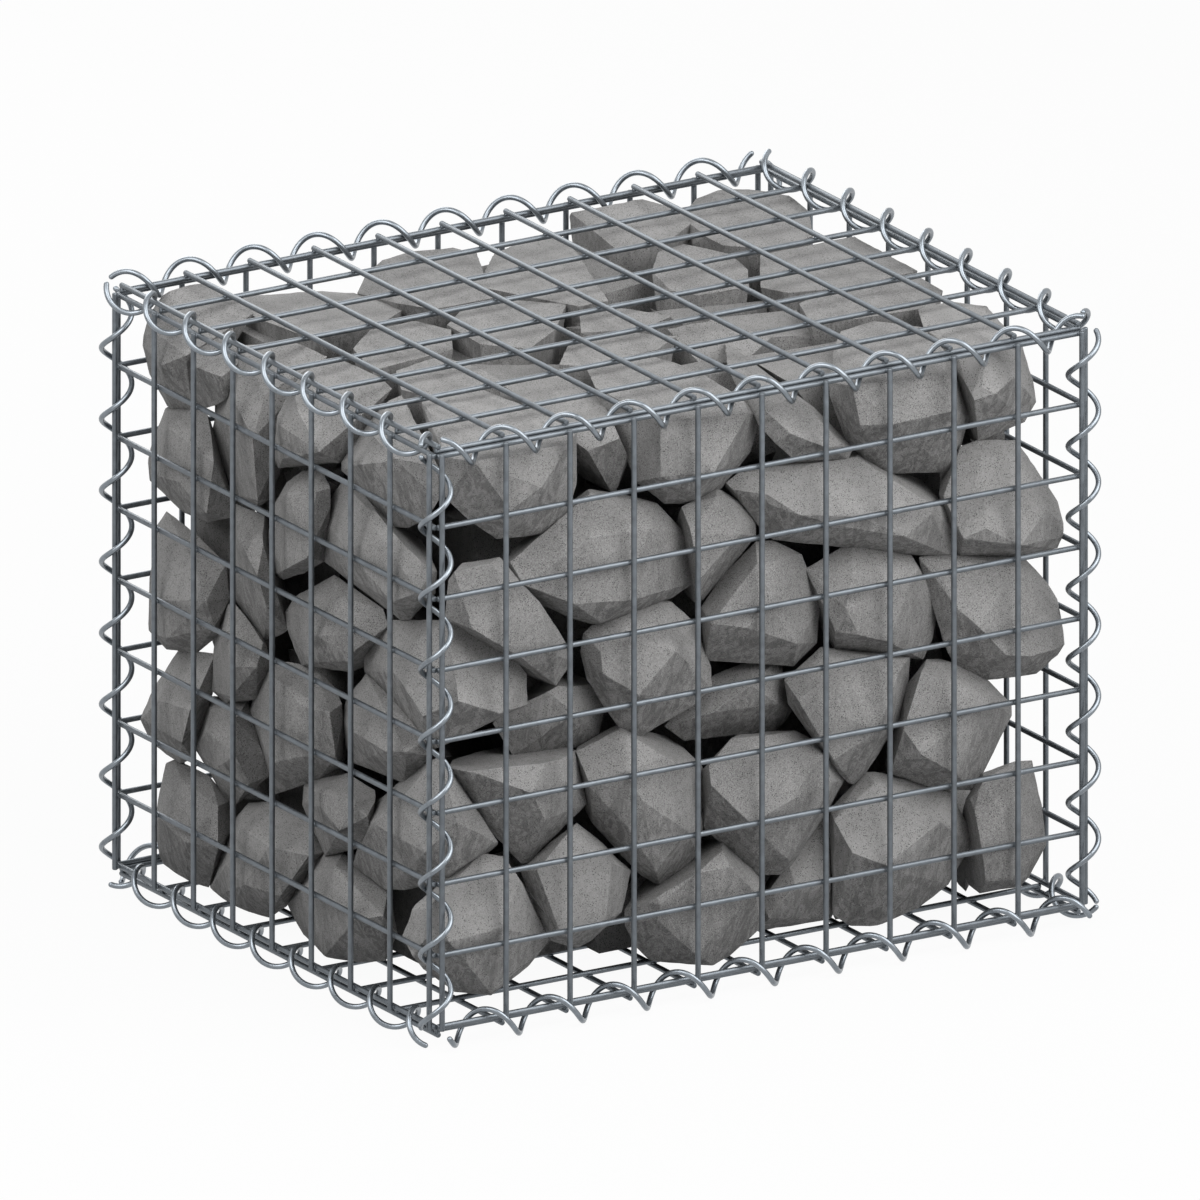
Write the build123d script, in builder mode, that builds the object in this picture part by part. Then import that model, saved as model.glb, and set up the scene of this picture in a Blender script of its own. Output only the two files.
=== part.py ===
from build123d import *

import os
from math import cos, pi, radians, sin, sqrt
from random import Random

import numpy as np
from scipy.optimize import linprog
from scipy.spatial import ConvexHull, HalfspaceIntersection

# A stone-filled gabion basket: six welded mesh panels, laced along their twelve edges
# by spiral binders, round a fill of quarried stones.
# Lengths are millimetres and angles are degrees. The origin is the middle of the
# footprint: X runs along the basket, Y to its back and Z up.

# Mesh
cell = 50.0
cells_long = 10
cells_deep = 8
cells_high = 8
wire = 3.8
weld_bite = 0.4
bar_sides = 8
# How far a panel's inner and outer wires stand outside the border lines of its neighbours
inner_stand_off = 2.8
outer_stand_off = inner_stand_off + wire - weld_bite
# How far a wire runs past the last one that it is welded to
overrun = 2.25
trimmed_overrun = 0.3

# Spiral binders
coil_radius = 10.1
coil_pitch = cell
# Height of a level binder's axis outside the border line of the mesh
coil_rise = 3.0
# Gap between a binder and the wire that it hangs on
seat_gap = 0.3

# Fill
# Gap between two stones that bear on each other, and between a stone and the wires
joint_gap = 0.4
wire_gap = 0.3
# A hidden stone spans this many cells each way, so that it can't slip out through one
stone_cells = 2
# How far in from the mesh the hidden stones stay: at the back, right and top, and further
# in at the front and left, where the gaps between the outer stones are deep
core_inset = 22.0
deep_inset = 60.0
# A piece that would be thinner than this is not worth laying
least_stone = 20.0

# Worked out from the sizes above
length = cells_long * cell
depth = cells_deep * cell
height = cells_high * cell
coil_outside = coil_radius + wire / 2
bottom_line = coil_outside + coil_rise
top_line = bottom_line + height
mid_line = bottom_line + height / 2
seat = coil_radius - wire - seat_gap
# How far a level binder's axis stands outside the border line, sideways
long_coil_out = sqrt(seat**2 - (coil_rise - inner_stand_off) ** 2)
deep_coil_out = sqrt(seat**2 - (outer_stand_off - coil_rise) ** 2)


def mesh_panel(name, face, columns, rows, row_overrun):
    """Make a welded panel: upright wires outside, cross wires inside."""
    flat_to_flat_turn = 180 / bar_sides
    upright_length = rows * cell + 2 * overrun
    cross_length = columns * cell + 2 * row_overrun
    with BuildPart() as panel:
        for along, count, bar_length, stand_off in [
            (face.y_dir, columns + 1, upright_length, outer_stand_off),
            (face.x_dir, rows + 1, cross_length, inner_stand_off),
        ]:
            start = face.origin - along * (bar_length / 2)
            with BuildSketch(Plane(start, x_dir=face.z_dir, z_dir=along)):
                with Locations((stand_off, 0)):
                    with GridLocations(cell, cell, 1, count):
                        RegularPolygon(
                            wire / 2, bar_sides, major_radius=False, rotation=flat_to_flat_turn
                        )
            extrude(amount=bar_length)
    panel.part.label = name
    export_step(panel.part, f"parts/{name}.step")


def spiral_binder(name, start, axis, phase_dir, span):
    """Make a right-handed spiral round one edge, starting towards phase_dir."""
    with BuildPart() as coil:
        with BuildLine() as path:
            Helix(coil_pitch, span, coil_radius)
        with BuildSketch(Plane(path.line @ 0, z_dir=path.line % 0)):
            Circle(wire / 2)
        sweep(path=path.line, is_frenet=True)
    binder = Plane(start, x_dir=phase_dir, z_dir=axis).location * coil.part
    binder.label = name
    export_step(binder, f"parts/{name}.step")


os.makedirs("parts", exist_ok=True)

# The panels. Each face plane lies on the border lines, and its normal points outwards.
front_face = Plane((0, -depth / 2, mid_line), x_dir=(1, 0, 0), z_dir=(0, -1, 0))
back_face = Plane((0, depth / 2, mid_line), x_dir=(-1, 0, 0), z_dir=(0, 1, 0))
left_face = Plane((-length / 2, 0, mid_line), x_dir=(0, -1, 0), z_dir=(-1, 0, 0))
right_face = Plane((length / 2, 0, mid_line), x_dir=(0, 1, 0), z_dir=(1, 0, 0))
lid_face = Plane((0, 0, top_line), x_dir=(1, 0, 0), z_dir=(0, 0, 1))
base_face = Plane((0, 0, bottom_line), x_dir=(1, 0, 0), z_dir=(0, 0, -1))

mesh_panel("front_panel", front_face, cells_long, cells_high, trimmed_overrun)
mesh_panel("back_panel", back_face, cells_long, cells_high, trimmed_overrun)
mesh_panel("left_panel", left_face, cells_deep, cells_high, overrun)
mesh_panel("right_panel", right_face, cells_deep, cells_high, overrun)
mesh_panel("lid_panel", lid_face, cells_long, cells_deep, trimmed_overrun)
mesh_panel("base_panel", base_face, cells_long, cells_deep, trimmed_overrun)

# The level binders. A long one hangs on the border wire of the lid or base that runs
# along it, and a deep one on the end wire of the lid or base.
# Phases are measured at the left end from +Y towards +Z, and at the back end from +X
# towards +Z.
long_coil_y = depth / 2 + long_coil_out
deep_coil_x = length / 2 + deep_coil_out
upper_coil_z = top_line + coil_rise
lower_coil_z = bottom_line - coil_rise

for name, y, z, phase in [
    ("spiral_front_top", -long_coil_y, upper_coil_z, 95.8),
    ("spiral_back_top", long_coil_y, upper_coil_z, 31.8),
    ("spiral_front_bottom", -long_coil_y, lower_coil_z, 191.2),
    ("spiral_back_bottom", long_coil_y, lower_coil_z, 246.8),
]:
    phase_dir = (0, cos(radians(phase)), sin(radians(phase)))
    spiral_binder(name, (-length / 2, y, z), (1, 0, 0), phase_dir, length)

for name, x, z, phase in [
    ("spiral_left_top", -deep_coil_x, upper_coil_z, 140.1),
    ("spiral_right_top", deep_coil_x, upper_coil_z, 92.3),
    ("spiral_left_bottom", -deep_coil_x, lower_coil_z, 245.7),
    ("spiral_right_bottom", deep_coil_x, lower_coil_z, 343.3),
]:
    phase_dir = (cos(radians(phase)), 0, sin(radians(phase)))
    spiral_binder(name, (x, depth / 2, z), (0, -1, 0), phase_dir, depth)

# The upright binders. Each hangs on the first upright wire of the side panel: the bearing
# is the direction from the binder's axis to that wire, from +X towards +Y.
side_wire_x = length / 2 + outer_stand_off
side_wire_y = depth / 2
upright_axes = []

for name, x_sign, y_sign, bearing, phase in [
    ("spiral_front_left", -1, -1, 104.2, 131.9),
    ("spiral_front_right", 1, -1, 47.3, 359.8),
    ("spiral_back_left", -1, 1, 227.3, 62.4),
    ("spiral_back_right", 1, 1, 284.2, 45.0),
]:
    x = x_sign * side_wire_x - seat * cos(radians(bearing))
    y = y_sign * side_wire_y - seat * sin(radians(bearing))
    upright_axes.append((x_sign, y_sign, x, y))
    phase_dir = (cos(radians(phase)), sin(radians(phase)), 0)
    spiral_binder(name, (x, y, bottom_line), (0, 0, 1), phase_dir, height)


# The room for the fill: planes as a normal and an offset, negative on the inner side.
# Six lie just inside the wires, and twelve keep the stones clear of the binders.
def room(inset):
    """Return the six planes that lie the given distance inside the mesh wires."""
    reach = inner_stand_off - wire / 2 - wire_gap - inset
    return np.array([
        [1, 0, 0, -length / 2 - reach],
        [-1, 0, 0, -length / 2 - reach],
        [0, 1, 0, -depth / 2 - reach],
        [0, -1, 0, -depth / 2 - reach],
        [0, 0, 1, -top_line - reach],
        [0, 0, -1, bottom_line - reach],
    ])


def clear_of_coil(normal, on_axis):
    """Return the plane that touches a binder on the side away from the normal."""
    normal = np.array(normal) / sqrt(2)
    return np.append(normal, coil_outside + wire_gap - normal @ np.array(on_axis))


clearances = []
for x_sign, y_sign, axis_x, axis_y in upright_axes:
    clearances.append(clear_of_coil((x_sign, y_sign, 0), (axis_x, axis_y, 0)))
for side in (-1, 1):
    for up, coil_z in ((-1, lower_coil_z), (1, upper_coil_z)):
        clearances.append(clear_of_coil((0, side, up), (0, side * long_coil_y, coil_z)))
        clearances.append(clear_of_coil((side, 0, up), (side * deep_coil_x, 0, coil_z)))
fill_room = np.vstack([room(0), clearances])
core_room = room(core_inset)
core_room[[1, 3]] = room(deep_inset)[[1, 3]]
core_room[5] = fill_room[5]

# The stones that show are described as a mason would sketch them from one standpoint, in
# front of the basket and to its left: each corner by the cell of the mesh that it is seen
# through. On the front that is columns from the left and rows from the bottom, on the left
# side columns from the back and rows from the bottom, and on the lid cells from the left
# and from the front. A third number on the front or the left side says how many cells the
# corner stands proud of the stone's outline, and on the lid how many it lies below the lid.
standpoint_turn = 31.55
standpoint_rise = 18.3
sight = np.array([
    -sin(radians(standpoint_turn)) * cos(radians(standpoint_rise)),
    -cos(radians(standpoint_turn)) * cos(radians(standpoint_rise)),
    sin(radians(standpoint_rise)),
])
corner_at = np.array([-length / 2, -depth / 2, bottom_line])
rear_corner_at = np.array([-length / 2, depth / 2, bottom_line])
lid_corner_at = np.array([-length / 2, -depth / 2, top_line])

# How much narrower a stone is at its hidden side than where it shows
hidden_share = 0.72
# Depth of a stone behind its outline, as a share of its mean half width
body_share = 1.25
# Depth of a stone under the lid
lid_body = 1.35 * cell

# How many cells a stone of the inner row lies behind the mesh that it is seen through
inner_row = 0.9

sketched = []
to_repeat = []


def stone(node, front=(), left=(), lid=(), behind=0.0, repeated=True):
    """Lay one stone that shows: its corners as seen through the meshes."""
    proudest = max([point[2] for point in (*front, *left) if len(point) == 3], default=0.0)
    corners = []
    outline = []
    for points, origin, across, inwards in [
        (front, corner_at, np.array([1, 0, 0]), -sight[1]),
        (left, rear_corner_at, np.array([0, -1, 0]), -sight[0]),
    ]:
        for column, row, *proud in points:
            sunk = (proudest - sum(proud) + behind) * cell
            on_mesh = origin + across * column * cell + np.array([0, 0, row * cell])
            corners.append(on_mesh - sight * sunk / inwards)
            if not proud:
                outline.append(corners[-1])
    for column, rank, drop in lid:
        on_mesh = lid_corner_at + np.array([column * cell, rank * cell, 0])
        corners.append(on_mesh - sight * drop * cell / sight[2])
    if outline:
        middle = np.mean(outline, axis=0)
        half_width = np.mean(np.linalg.norm(outline - middle, axis=1))
        hidden = middle + hidden_share * (outline - middle) - sight * body_share * half_width
    else:
        middle = np.mean(corners, axis=0)
        hidden = middle + hidden_share * (corners - middle) - np.array([0, 0, lid_body])
    sketched.append((node, np.vstack([corners, hidden])))
    if repeated:
        to_repeat.append(sketched[-1])


# Front, top course
stone(
    "front_stones_5",
    front=[(0.14, 7.95), (0.15, 7.38), (0.53, 7.0), (0.93, 6.68), (1.66, 6.63), (2.03, 6.86),
           (2.16, 7.23), (2.16, 7.95), (1.14, 7.03, 0.45), (1.62, 7.27, 0.5), (0.6, 7.8, 0.5),
           (2.05, 7.8, 0.45)],
    lid=[(0.75, 1.2, 0.1), (1.0, 2.0, 0.1), (1.9, 2.2, 0.12), (2.05, 1.2, 0.1)],
)
stone(
    "front_stones_5",
    front=[(3.14, 7.92), (3.14, 7.09), (3.56, 6.72), (4.04, 6.64), (4.43, 6.78), (4.89, 7.21),
           (5.01, 7.67), (4.75, 7.95), (3.5, 7.1, 0.5), (3.5, 7.85, 0.5), (4.32, 7.02, 0.6),
           (4.85, 7.75, 0.35), (4.0, 6.8, 0.45)],
    lid=[(3.3, 1.3, 0.1), (3.6, 2.0, 0.1), (4.6, 2.1, 0.1), (4.8, 1.2, 0.12)],
)
stone(
    "front_stones_5",
    front=[(6.14, 7.95), (6.16, 7.75), (6.4, 7.1), (6.7, 6.78), (7.03, 6.55), (8.0, 6.4),
           (8.16, 6.71), (8.3, 7.11), (8.1, 7.75), (7.9, 8.1), (6.62, 7.28, 0.6),
           (7.12, 7.21, 0.65), (8.02, 7.23, 0.55), (7.95, 7.75, 0.5), (6.5, 7.85, 0.6)],
    lid=[(6.9, 1.1, 0.15), (7.3, 1.6, 0.12), (7.9, 1.75, 0.12), (8.3, 1.2, 0.15)],
)
stone(
    "front_stones_5",
    front=[(8.15, 8.0), (8.1, 7.7), (8.3, 7.1), (8.2, 6.72), (8.45, 6.75), (9.16, 6.9),
           (9.34, 7.14), (9.28, 7.46), (9.12, 7.95), (8.32, 7.32, 0.45), (8.51, 7.48, 0.5),
           (8.72, 7.36, 0.55), (9.0, 7.53, 0.45), (8.6, 7.95, 0.4)],
    lid=[(8.4, 1.3, 0.15), (8.7, 1.9, 0.12), (9.2, 1.9, 0.12), (9.5, 1.5, 0.2)],
)
stone(
    "front_stones_5",
    front=[(5.05, 8.05), (5.56, 7.85), (6.02, 7.53), (6.5, 7.03), (6.4, 6.85), (5.1, 6.95),
           (4.8, 7.1), (5.0, 7.6), (5.12, 7.75, 0.3), (5.52, 7.36, 0.45), (6.05, 7.08, 0.4)],
    lid=[(5.2, 2.1, 0.25), (5.8, 2.2, 0.3)],
)
stone(
    "front_stones_5",
    front=[(2.1, 8.0), (3.1, 8.0), (3.05, 7.6), (2.77, 7.02), (2.16, 7.22), (2.16, 7.62, 0.3),
           (3.04, 7.78, 0.3)],
    lid=[(2.3, 2.0, 0.2), (3.2, 2.1, 0.2)],
    behind=0.6,
)

# Front, fourth course
stone(
    "front_stones_4",
    front=[(1.05, 6.5), (1.1, 6.2), (1.41, 5.77), (2.08, 5.38), (2.5, 5.2), (3.03, 5.27),
           (3.65, 5.38), (3.97, 5.53), (3.9, 5.85), (3.85, 6.23), (3.4, 6.75), (3.0, 6.92),
           (2.39, 7.13), (1.6, 6.9), (1.37, 5.95, 0.4), (2.16, 5.55, 0.55), (2.55, 5.23, 0.35),
           (2.4, 6.42, 0.55), (3.3, 6.4, 0.5), (3.0, 5.46, 0.6)],
)
stone(
    "front_stones_4",
    front=[(3.5, 6.6), (4.35, 6.78), (4.75, 6.5), (4.95, 6.23), (4.97, 6.0), (4.48, 5.61),
           (4.16, 5.28), (4.0, 5.26), (3.66, 5.32), (3.9, 6.2, 0.4), (4.37, 6.65, 0.25),
           (4.72, 6.07, 0.45), (4.06, 5.52, 0.45)],
    behind=0.15,
)
stone(
    "front_stones_4",
    front=[(4.45, 6.78), (4.75, 6.95), (5.3, 7.02), (6.4, 7.0), (6.8, 6.8), (7.47, 6.47),
           (7.78, 6.36), (8.03, 5.6), (8.0, 5.22), (7.47, 5.32), (6.43, 5.63), (5.25, 5.92),
           (4.98, 6.19), (5.18, 6.55, 0.35), (5.66, 6.19, 0.5), (6.14, 5.98, 0.5),
           (6.6, 6.0, 0.55), (7.3, 5.6, 0.5), (7.7, 5.85, 0.4), (5.6, 6.8, 0.35)],
)
stone(
    "front_stones_4",
    front=[(7.8, 6.34), (8.18, 6.69), (8.43, 6.73), (9.03, 6.63), (9.16, 6.46), (9.58, 5.84),
           (9.95, 5.19), (9.64, 5.02), (9.05, 5.02), (8.05, 5.21), (8.0, 5.69),
           (8.22, 5.42, 0.45), (8.58, 5.5, 0.55), (9.12, 5.17, 0.55), (8.5, 6.5, 0.3),
           (9.0, 6.4, 0.3), (9.5, 5.6, 0.35)],
)

# Front, third course
stone(
    "front_stones_3",
    front=[(0.16, 5.65), (0.53, 5.38), (1.24, 4.88), (1.37, 4.69), (1.39, 4.27), (0.97, 4.19),
           (0.49, 4.02), (0.1, 3.93), (0.33, 4.5, 0.55), (0.97, 4.22, 0.4)],
    left=[(6.15, 4.65), (6.88, 5.36), (7.42, 5.5), (7.68, 3.75), (6.9, 4.1), (6.18, 4.46),
          (6.95, 4.65, 0.45), (7.65, 4.25, 0.45), (7.4, 5.2, 0.3)],
)
stone(
    "front_stones_3",
    front=[(0.2, 6.2), (0.41, 6.4), (0.97, 6.38), (1.39, 5.88), (2.05, 5.4), (2.08, 4.75),
           (1.82, 4.44), (1.37, 4.55), (0.5, 5.0), (0.12, 5.6), (1.24, 4.88, 0.45),
           (1.8, 4.92, 0.45), (1.55, 5.68, 0.45), (0.82, 6.32, 0.35), (0.28, 6.3, 0.25),
           (0.6, 5.35, 0.5)],
)
stone(
    "front_stones_3",
    front=[(2.3, 5.1), (2.6, 5.3), (3.6, 5.35), (4.0, 4.96), (4.25, 4.3), (4.27, 4.0),
           (3.95, 3.8), (3.14, 3.52), (2.85, 3.7), (2.6, 4.1), (2.35, 4.46), (2.26, 4.85),
           (2.57, 4.8, 0.4), (2.6, 4.5, 0.45), (3.15, 4.1, 0.55), (3.72, 4.61, 0.55),
           (3.55, 4.95, 0.4), (3.0, 4.9, 0.5)],
)
stone(
    "front_stones_3",
    front=[(4.98, 5.92), (5.25, 5.88), (5.68, 5.61), (5.85, 5.15), (5.97, 4.86), (5.91, 4.36),
           (5.56, 4.1), (5.06, 4.21), (4.2, 4.42), (4.14, 5.15), (4.45, 5.5), (5.0, 5.6, 0.5),
           (5.3, 5.6, 0.45), (4.85, 4.75, 0.6), (5.6, 4.4, 0.45), (4.3, 4.9, 0.45),
           (5.2, 5.0, 0.6)],
)
stone(
    "front_stones_3",
    front=[(5.75, 5.4), (6.06, 5.5), (6.48, 5.65), (7.05, 5.46), (7.39, 5.32), (7.68, 4.84),
           (7.8, 4.5), (7.72, 4.1), (7.58, 3.84), (7.03, 4.05), (6.2, 4.22), (5.95, 4.45),
           (5.85, 5.1), (6.1, 4.5, 0.4), (6.6, 4.35, 0.55), (7.05, 4.18, 0.5),
           (7.35, 4.84, 0.45), (7.5, 5.1, 0.3), (6.5, 5.2, 0.45), (6.4, 4.75, 0.6)],
)
stone(
    "front_stones_3",
    front=[(7.55, 5.25), (8.05, 5.2), (9.15, 4.98), (9.51, 4.57), (9.82, 4.07), (9.99, 3.74),
           (9.66, 3.53), (9.35, 3.33), (8.55, 3.38), (8.12, 3.67), (7.8, 3.9), (7.75, 4.4),
           (7.95, 4.8, 0.25), (8.16, 4.42, 0.4), (8.48, 4.12, 0.55), (8.89, 3.67, 0.55),
           (9.24, 3.59, 0.5), (9.65, 3.62, 0.3), (9.05, 4.85, 0.35)],
)
stone(
    "front_stones_3",
    front=[(0.9, 4.1), (1.4, 4.5), (1.6, 4.62), (2.1, 4.7), (2.4, 4.45), (2.62, 4.1),
           (2.5, 3.66), (2.16, 3.55), (1.2, 3.6), (1.6, 4.5, 0.3), (2.05, 4.5, 0.3),
           (2.15, 4.0, 0.4)],
    behind=0.5,
)
stone(
    "front_stones_3",
    front=[(3.58, 3.59), (4.04, 3.84), (4.27, 4.15), (4.9, 4.27), (5.33, 4.22), (5.45, 3.76),
           (5.52, 3.47), (5.4, 3.32), (5.25, 3.24), (4.67, 3.29), (3.89, 3.34),
           (4.3, 3.65, 0.35), (4.9, 3.92, 0.45), (5.3, 3.6, 0.35)],
    behind=0.5,
)

# Front, second course
stone(
    "front_stones_2",
    front=[(0.12, 3.75), (0.3, 3.43), (0.85, 2.61), (1.33, 2.06), (1.43, 2.05), (2.03, 2.47),
           (2.35, 2.72), (2.16, 3.1), (2.14, 3.55), (2.05, 3.9), (1.0, 3.92), (0.45, 3.85),
           (1.5, 3.0, 0.6), (1.7, 2.6, 0.5), (2.0, 3.1, 0.4), (0.5, 3.5, 0.4),
           (1.9, 3.75, 0.35)],
)
stone(
    "front_stones_2",
    front=[(2.16, 3.55), (2.68, 3.76), (2.9, 3.7), (3.58, 3.59), (3.89, 3.3), (4.12, 2.9),
           (4.16, 2.2), (4.04, 1.72), (3.81, 1.54), (3.45, 1.38), (3.14, 1.6), (2.85, 1.92),
           (2.24, 2.65), (2.3, 3.02, 0.35), (2.68, 2.88, 0.5), (2.93, 3.05, 0.6),
           (2.95, 3.55, 0.3), (3.2, 2.6, 0.65), (3.87, 2.08, 0.5), (3.85, 3.2, 0.4),
           (2.95, 2.3, 0.5), (3.4, 1.6, 0.4)],
)
stone(
    "front_stones_2",
    front=[(4.16, 2.86), (4.68, 3.29), (5.25, 3.26), (5.56, 3.18), (5.95, 2.92), (6.29, 2.49),
           (6.34, 2.34), (5.98, 1.84), (5.52, 1.32), (5.35, 1.22), (4.98, 1.28), (4.45, 1.84),
           (4.18, 2.07), (4.27, 2.9, 0.35), (4.3, 2.63, 0.45), (4.91, 1.99, 0.6),
           (5.5, 1.38, 0.35), (6.0, 2.75, 0.4), (6.15, 2.35, 0.35), (5.3, 2.9, 0.5),
           (5.5, 2.2, 0.6)],
)
stone(
    "front_stones_2",
    front=[(5.45, 3.9), (6.0, 4.25), (7.0, 4.15), (7.37, 3.9), (7.35, 3.6), (7.22, 3.03),
           (6.7, 2.42), (6.5, 2.28), (6.3, 2.4), (5.66, 3.38), (5.5, 3.57), (5.65, 3.6, 0.4),
           (6.1, 3.0, 0.45), (6.2, 2.68, 0.45), (6.9, 2.95, 0.55), (7.2, 3.7, 0.4),
           (6.3, 3.9, 0.45)],
)
stone(
    "front_stones_2",
    front=[(7.35, 3.5), (7.62, 3.8), (7.83, 3.8), (8.55, 3.4), (8.95, 2.95), (8.95, 2.8),
           (8.51, 2.07), (8.37, 1.88), (7.8, 1.98), (7.08, 2.36), (6.91, 2.42), (7.22, 3.0),
           (7.58, 3.65, 0.35), (8.1, 3.38, 0.4), (8.66, 3.05, 0.4), (7.58, 2.5, 0.55),
           (8.1, 2.15, 0.5), (8.3, 2.9, 0.55), (7.3, 2.9, 0.45)],
)
stone(
    "front_stones_2",
    front=[(8.4, 3.5), (9.05, 3.5), (9.07, 3.0), (8.9, 2.9), (8.5, 3.1)],
    behind=0.7,
)

# Front, bottom course
stone(
    "front_stones_1",
    front=[(-0.6, 1.36), (-0.3, 1.75), (0.2, 2.05), (0.7, 2.28), (1.05, 2.18), (1.39, 1.68),
           (1.74, 0.9), (1.43, 0.61), (0.85, 0.3), (0.28, 0.45), (-0.2, 0.85),
           (0.0, 1.75, 0.45), (0.2, 1.15, 0.55), (0.39, 0.92, 0.5), (0.85, 0.32, 0.3),
           (1.3, 1.8, 0.35), (0.7, 1.95, 0.4), (1.0, 1.2, 0.55)],
)
stone(
    "front_stones_1",
    front=[(2.95, 1.25), (3.14, 1.6), (3.6, 1.45), (4.1, 2.0), (4.3, 2.0), (4.75, 1.49),
           (5.06, 1.15), (5.02, 0.51), (4.52, 0.18), (4.31, 0.1), (3.33, 0.36), (3.1, 0.6),
           (2.95, 0.9), (3.45, 0.9, 0.45), (4.05, 0.3, 0.4), (4.3, 0.12, 0.2),
           (4.02, 1.42, 0.55), (4.56, 1.43, 0.5), (4.95, 1.0, 0.4), (3.5, 1.1, 0.5)],
)
stone(
    "front_stones_1",
    front=[(6.15, 1.95), (6.68, 2.38), (6.85, 2.36), (7.35, 2.18), (8.0, 1.9), (8.3, 1.3),
           (8.33, 1.1), (7.97, 0.61), (7.5, 0.36), (6.87, 0.22), (6.47, 0.3), (6.2, 0.5),
           (6.18, 1.1), (6.22, 1.8, 0.3), (6.5, 1.3, 0.55), (7.03, 1.03, 0.65),
           (7.35, 0.85, 0.55), (7.3, 1.85, 0.45), (7.85, 1.49, 0.5), (6.85, 2.2, 0.3)],
)
stone(
    "front_stones_1",
    front=[(8.15, 1.6), (8.49, 2.05), (9.03, 2.12), (9.28, 2.09), (9.43, 1.45), (9.5, 0.9),
           (9.24, 0.51), (9.08, 0.4), (8.2, 0.42), (8.1, 0.55), (8.28, 1.0), (8.5, 1.95, 0.3),
           (9.1, 1.85, 0.35), (8.85, 1.42, 0.5), (8.95, 0.95, 0.5), (8.95, 0.52, 0.4),
           (8.2, 0.6, 0.35)],
)
stone(
    "front_stones_1",
    front=[(1.3, 1.93), (1.62, 2.18), (2.16, 2.45), (2.55, 2.1), (2.99, 1.65), (2.85, 1.1),
           (2.39, 0.8), (2.16, 0.72), (1.74, 0.9), (1.68, 1.01), (1.39, 1.68), (2.0, 2.3, 0.35),
           (2.7, 1.8, 0.45), (2.6, 1.03, 0.45), (1.9, 1.0, 0.45), (1.55, 1.9, 0.4)],
    behind=0.1,
)
stone(
    "front_stones_1",
    front=[(5.0, 1.0), (5.4, 1.6), (6.0, 1.84), (6.15, 1.95), (6.2, 1.3), (6.23, 0.65),
           (6.14, 0.45), (5.18, 0.47), (5.02, 0.52), (5.2, 0.62, 0.3), (5.6, 1.0, 0.4),
           (6.1, 0.95, 0.35)],
    behind=0.5,
)
stone(
    "front_stones_1",
    front=[(2.4, 0.8), (2.5, 1.4), (3.1, 1.5), (3.2, 0.78)],
    behind=0.9,
)

# Left side, top course
stone(
    "left_stones_5",
    left=[(0.65, 7.9), (0.35, 7.48), (0.7, 7.1), (1.13, 6.78), (1.31, 6.76), (1.75, 6.88),
          (1.95, 7.4), (0.85, 7.7, 0.3), (1.0, 7.3, 0.45), (1.6, 7.6, 0.4)],
    lid=[(1.03, 6.4, 0.1), (1.13, 7.27, 0.1), (1.17, 7.87, 0.03), (0.8, 7.92, 0.02),
         (0.6, 7.8, 0.05)],
)
stone(
    "left_stones_5",
    left=[(2.6, 7.7), (3.0, 8.1), (3.7, 8.0), (3.85, 7.0), (3.72, 6.2), (3.42, 6.0),
          (2.87, 6.02), (2.5, 6.4), (2.3, 6.75), (2.88, 7.27, 0.5), (3.3, 6.9, 0.55),
          (3.42, 6.1, 0.35), (3.6, 7.6, 0.35)],
    lid=[(0.85, 5.1, 0.1), (0.9, 4.3, 0.1)],
)
stone(
    "left_stones_5",
    left=[(3.85, 7.8), (4.3, 8.1), (5.3, 8.0), (5.57, 7.7), (5.55, 7.22), (4.9, 7.0),
          (4.0, 6.7), (3.85, 6.8), (4.47, 7.63, 0.4), (4.0, 7.3, 0.45), (5.0, 7.2, 0.45),
          (4.1, 6.85, 0.35)],
    lid=[(1.0, 4.0, 0.1), (1.05, 3.2, 0.1), (0.95, 2.7, 0.1)],
)
stone(
    "left_stones_5",
    left=[(5.55, 7.65), (5.88, 7.95), (6.65, 7.9), (7.5, 7.95), (8.0, 7.84), (8.0, 7.38),
          (7.68, 7.03), (7.26, 6.8), (6.88, 6.7), (6.18, 6.92), (5.88, 7.11), (5.57, 7.11),
          (6.03, 7.32, 0.45), (6.57, 7.5, 0.4), (6.88, 7.65, 0.35)],
    lid=[(0.9, 2.4, 0.1)],
)
stone(
    "left_stones_5",
    left=[(1.8, 7.9), (2.7, 7.8), (2.8, 7.2), (2.6, 7.0), (2.15, 7.05), (1.8, 7.0),
          (1.85, 7.5, 0.4), (2.5, 7.55, 0.35)],
    lid=[(0.9, 6.2, 0.15), (0.95, 5.6, 0.2)],
)

# Left side, fourth course
stone(
    "left_stones_4",
    left=[(1.13, 6.77), (0.83, 6.25), (0.63, 5.84), (0.7, 5.6), (1.54, 5.4), (2.15, 5.44),
          (2.7, 5.65), (2.77, 6.0), (2.54, 6.4), (2.21, 6.9), (1.8, 6.95), (1.17, 6.45, 0.35),
          (1.7, 6.38, 0.45), (1.42, 5.78, 0.45), (2.12, 5.55, 0.4), (0.9, 5.72, 0.3),
          (2.3, 6.3, 0.4)],
)
stone(
    "left_stones_4",
    left=[(5.6, 6.95), (5.05, 6.3), (5.08, 5.72), (6.18, 5.57), (7.07, 5.44), (7.34, 5.53),
          (7.92, 6.05), (8.0, 6.5), (7.9, 6.85), (7.2, 6.9), (5.72, 6.05, 0.45),
          (6.18, 5.86, 0.5), (6.86, 5.63, 0.5), (7.5, 5.95, 0.45), (6.2, 6.75, 0.3),
          (7.6, 6.7, 0.3), (6.6, 6.4, 0.5)],
)
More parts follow.
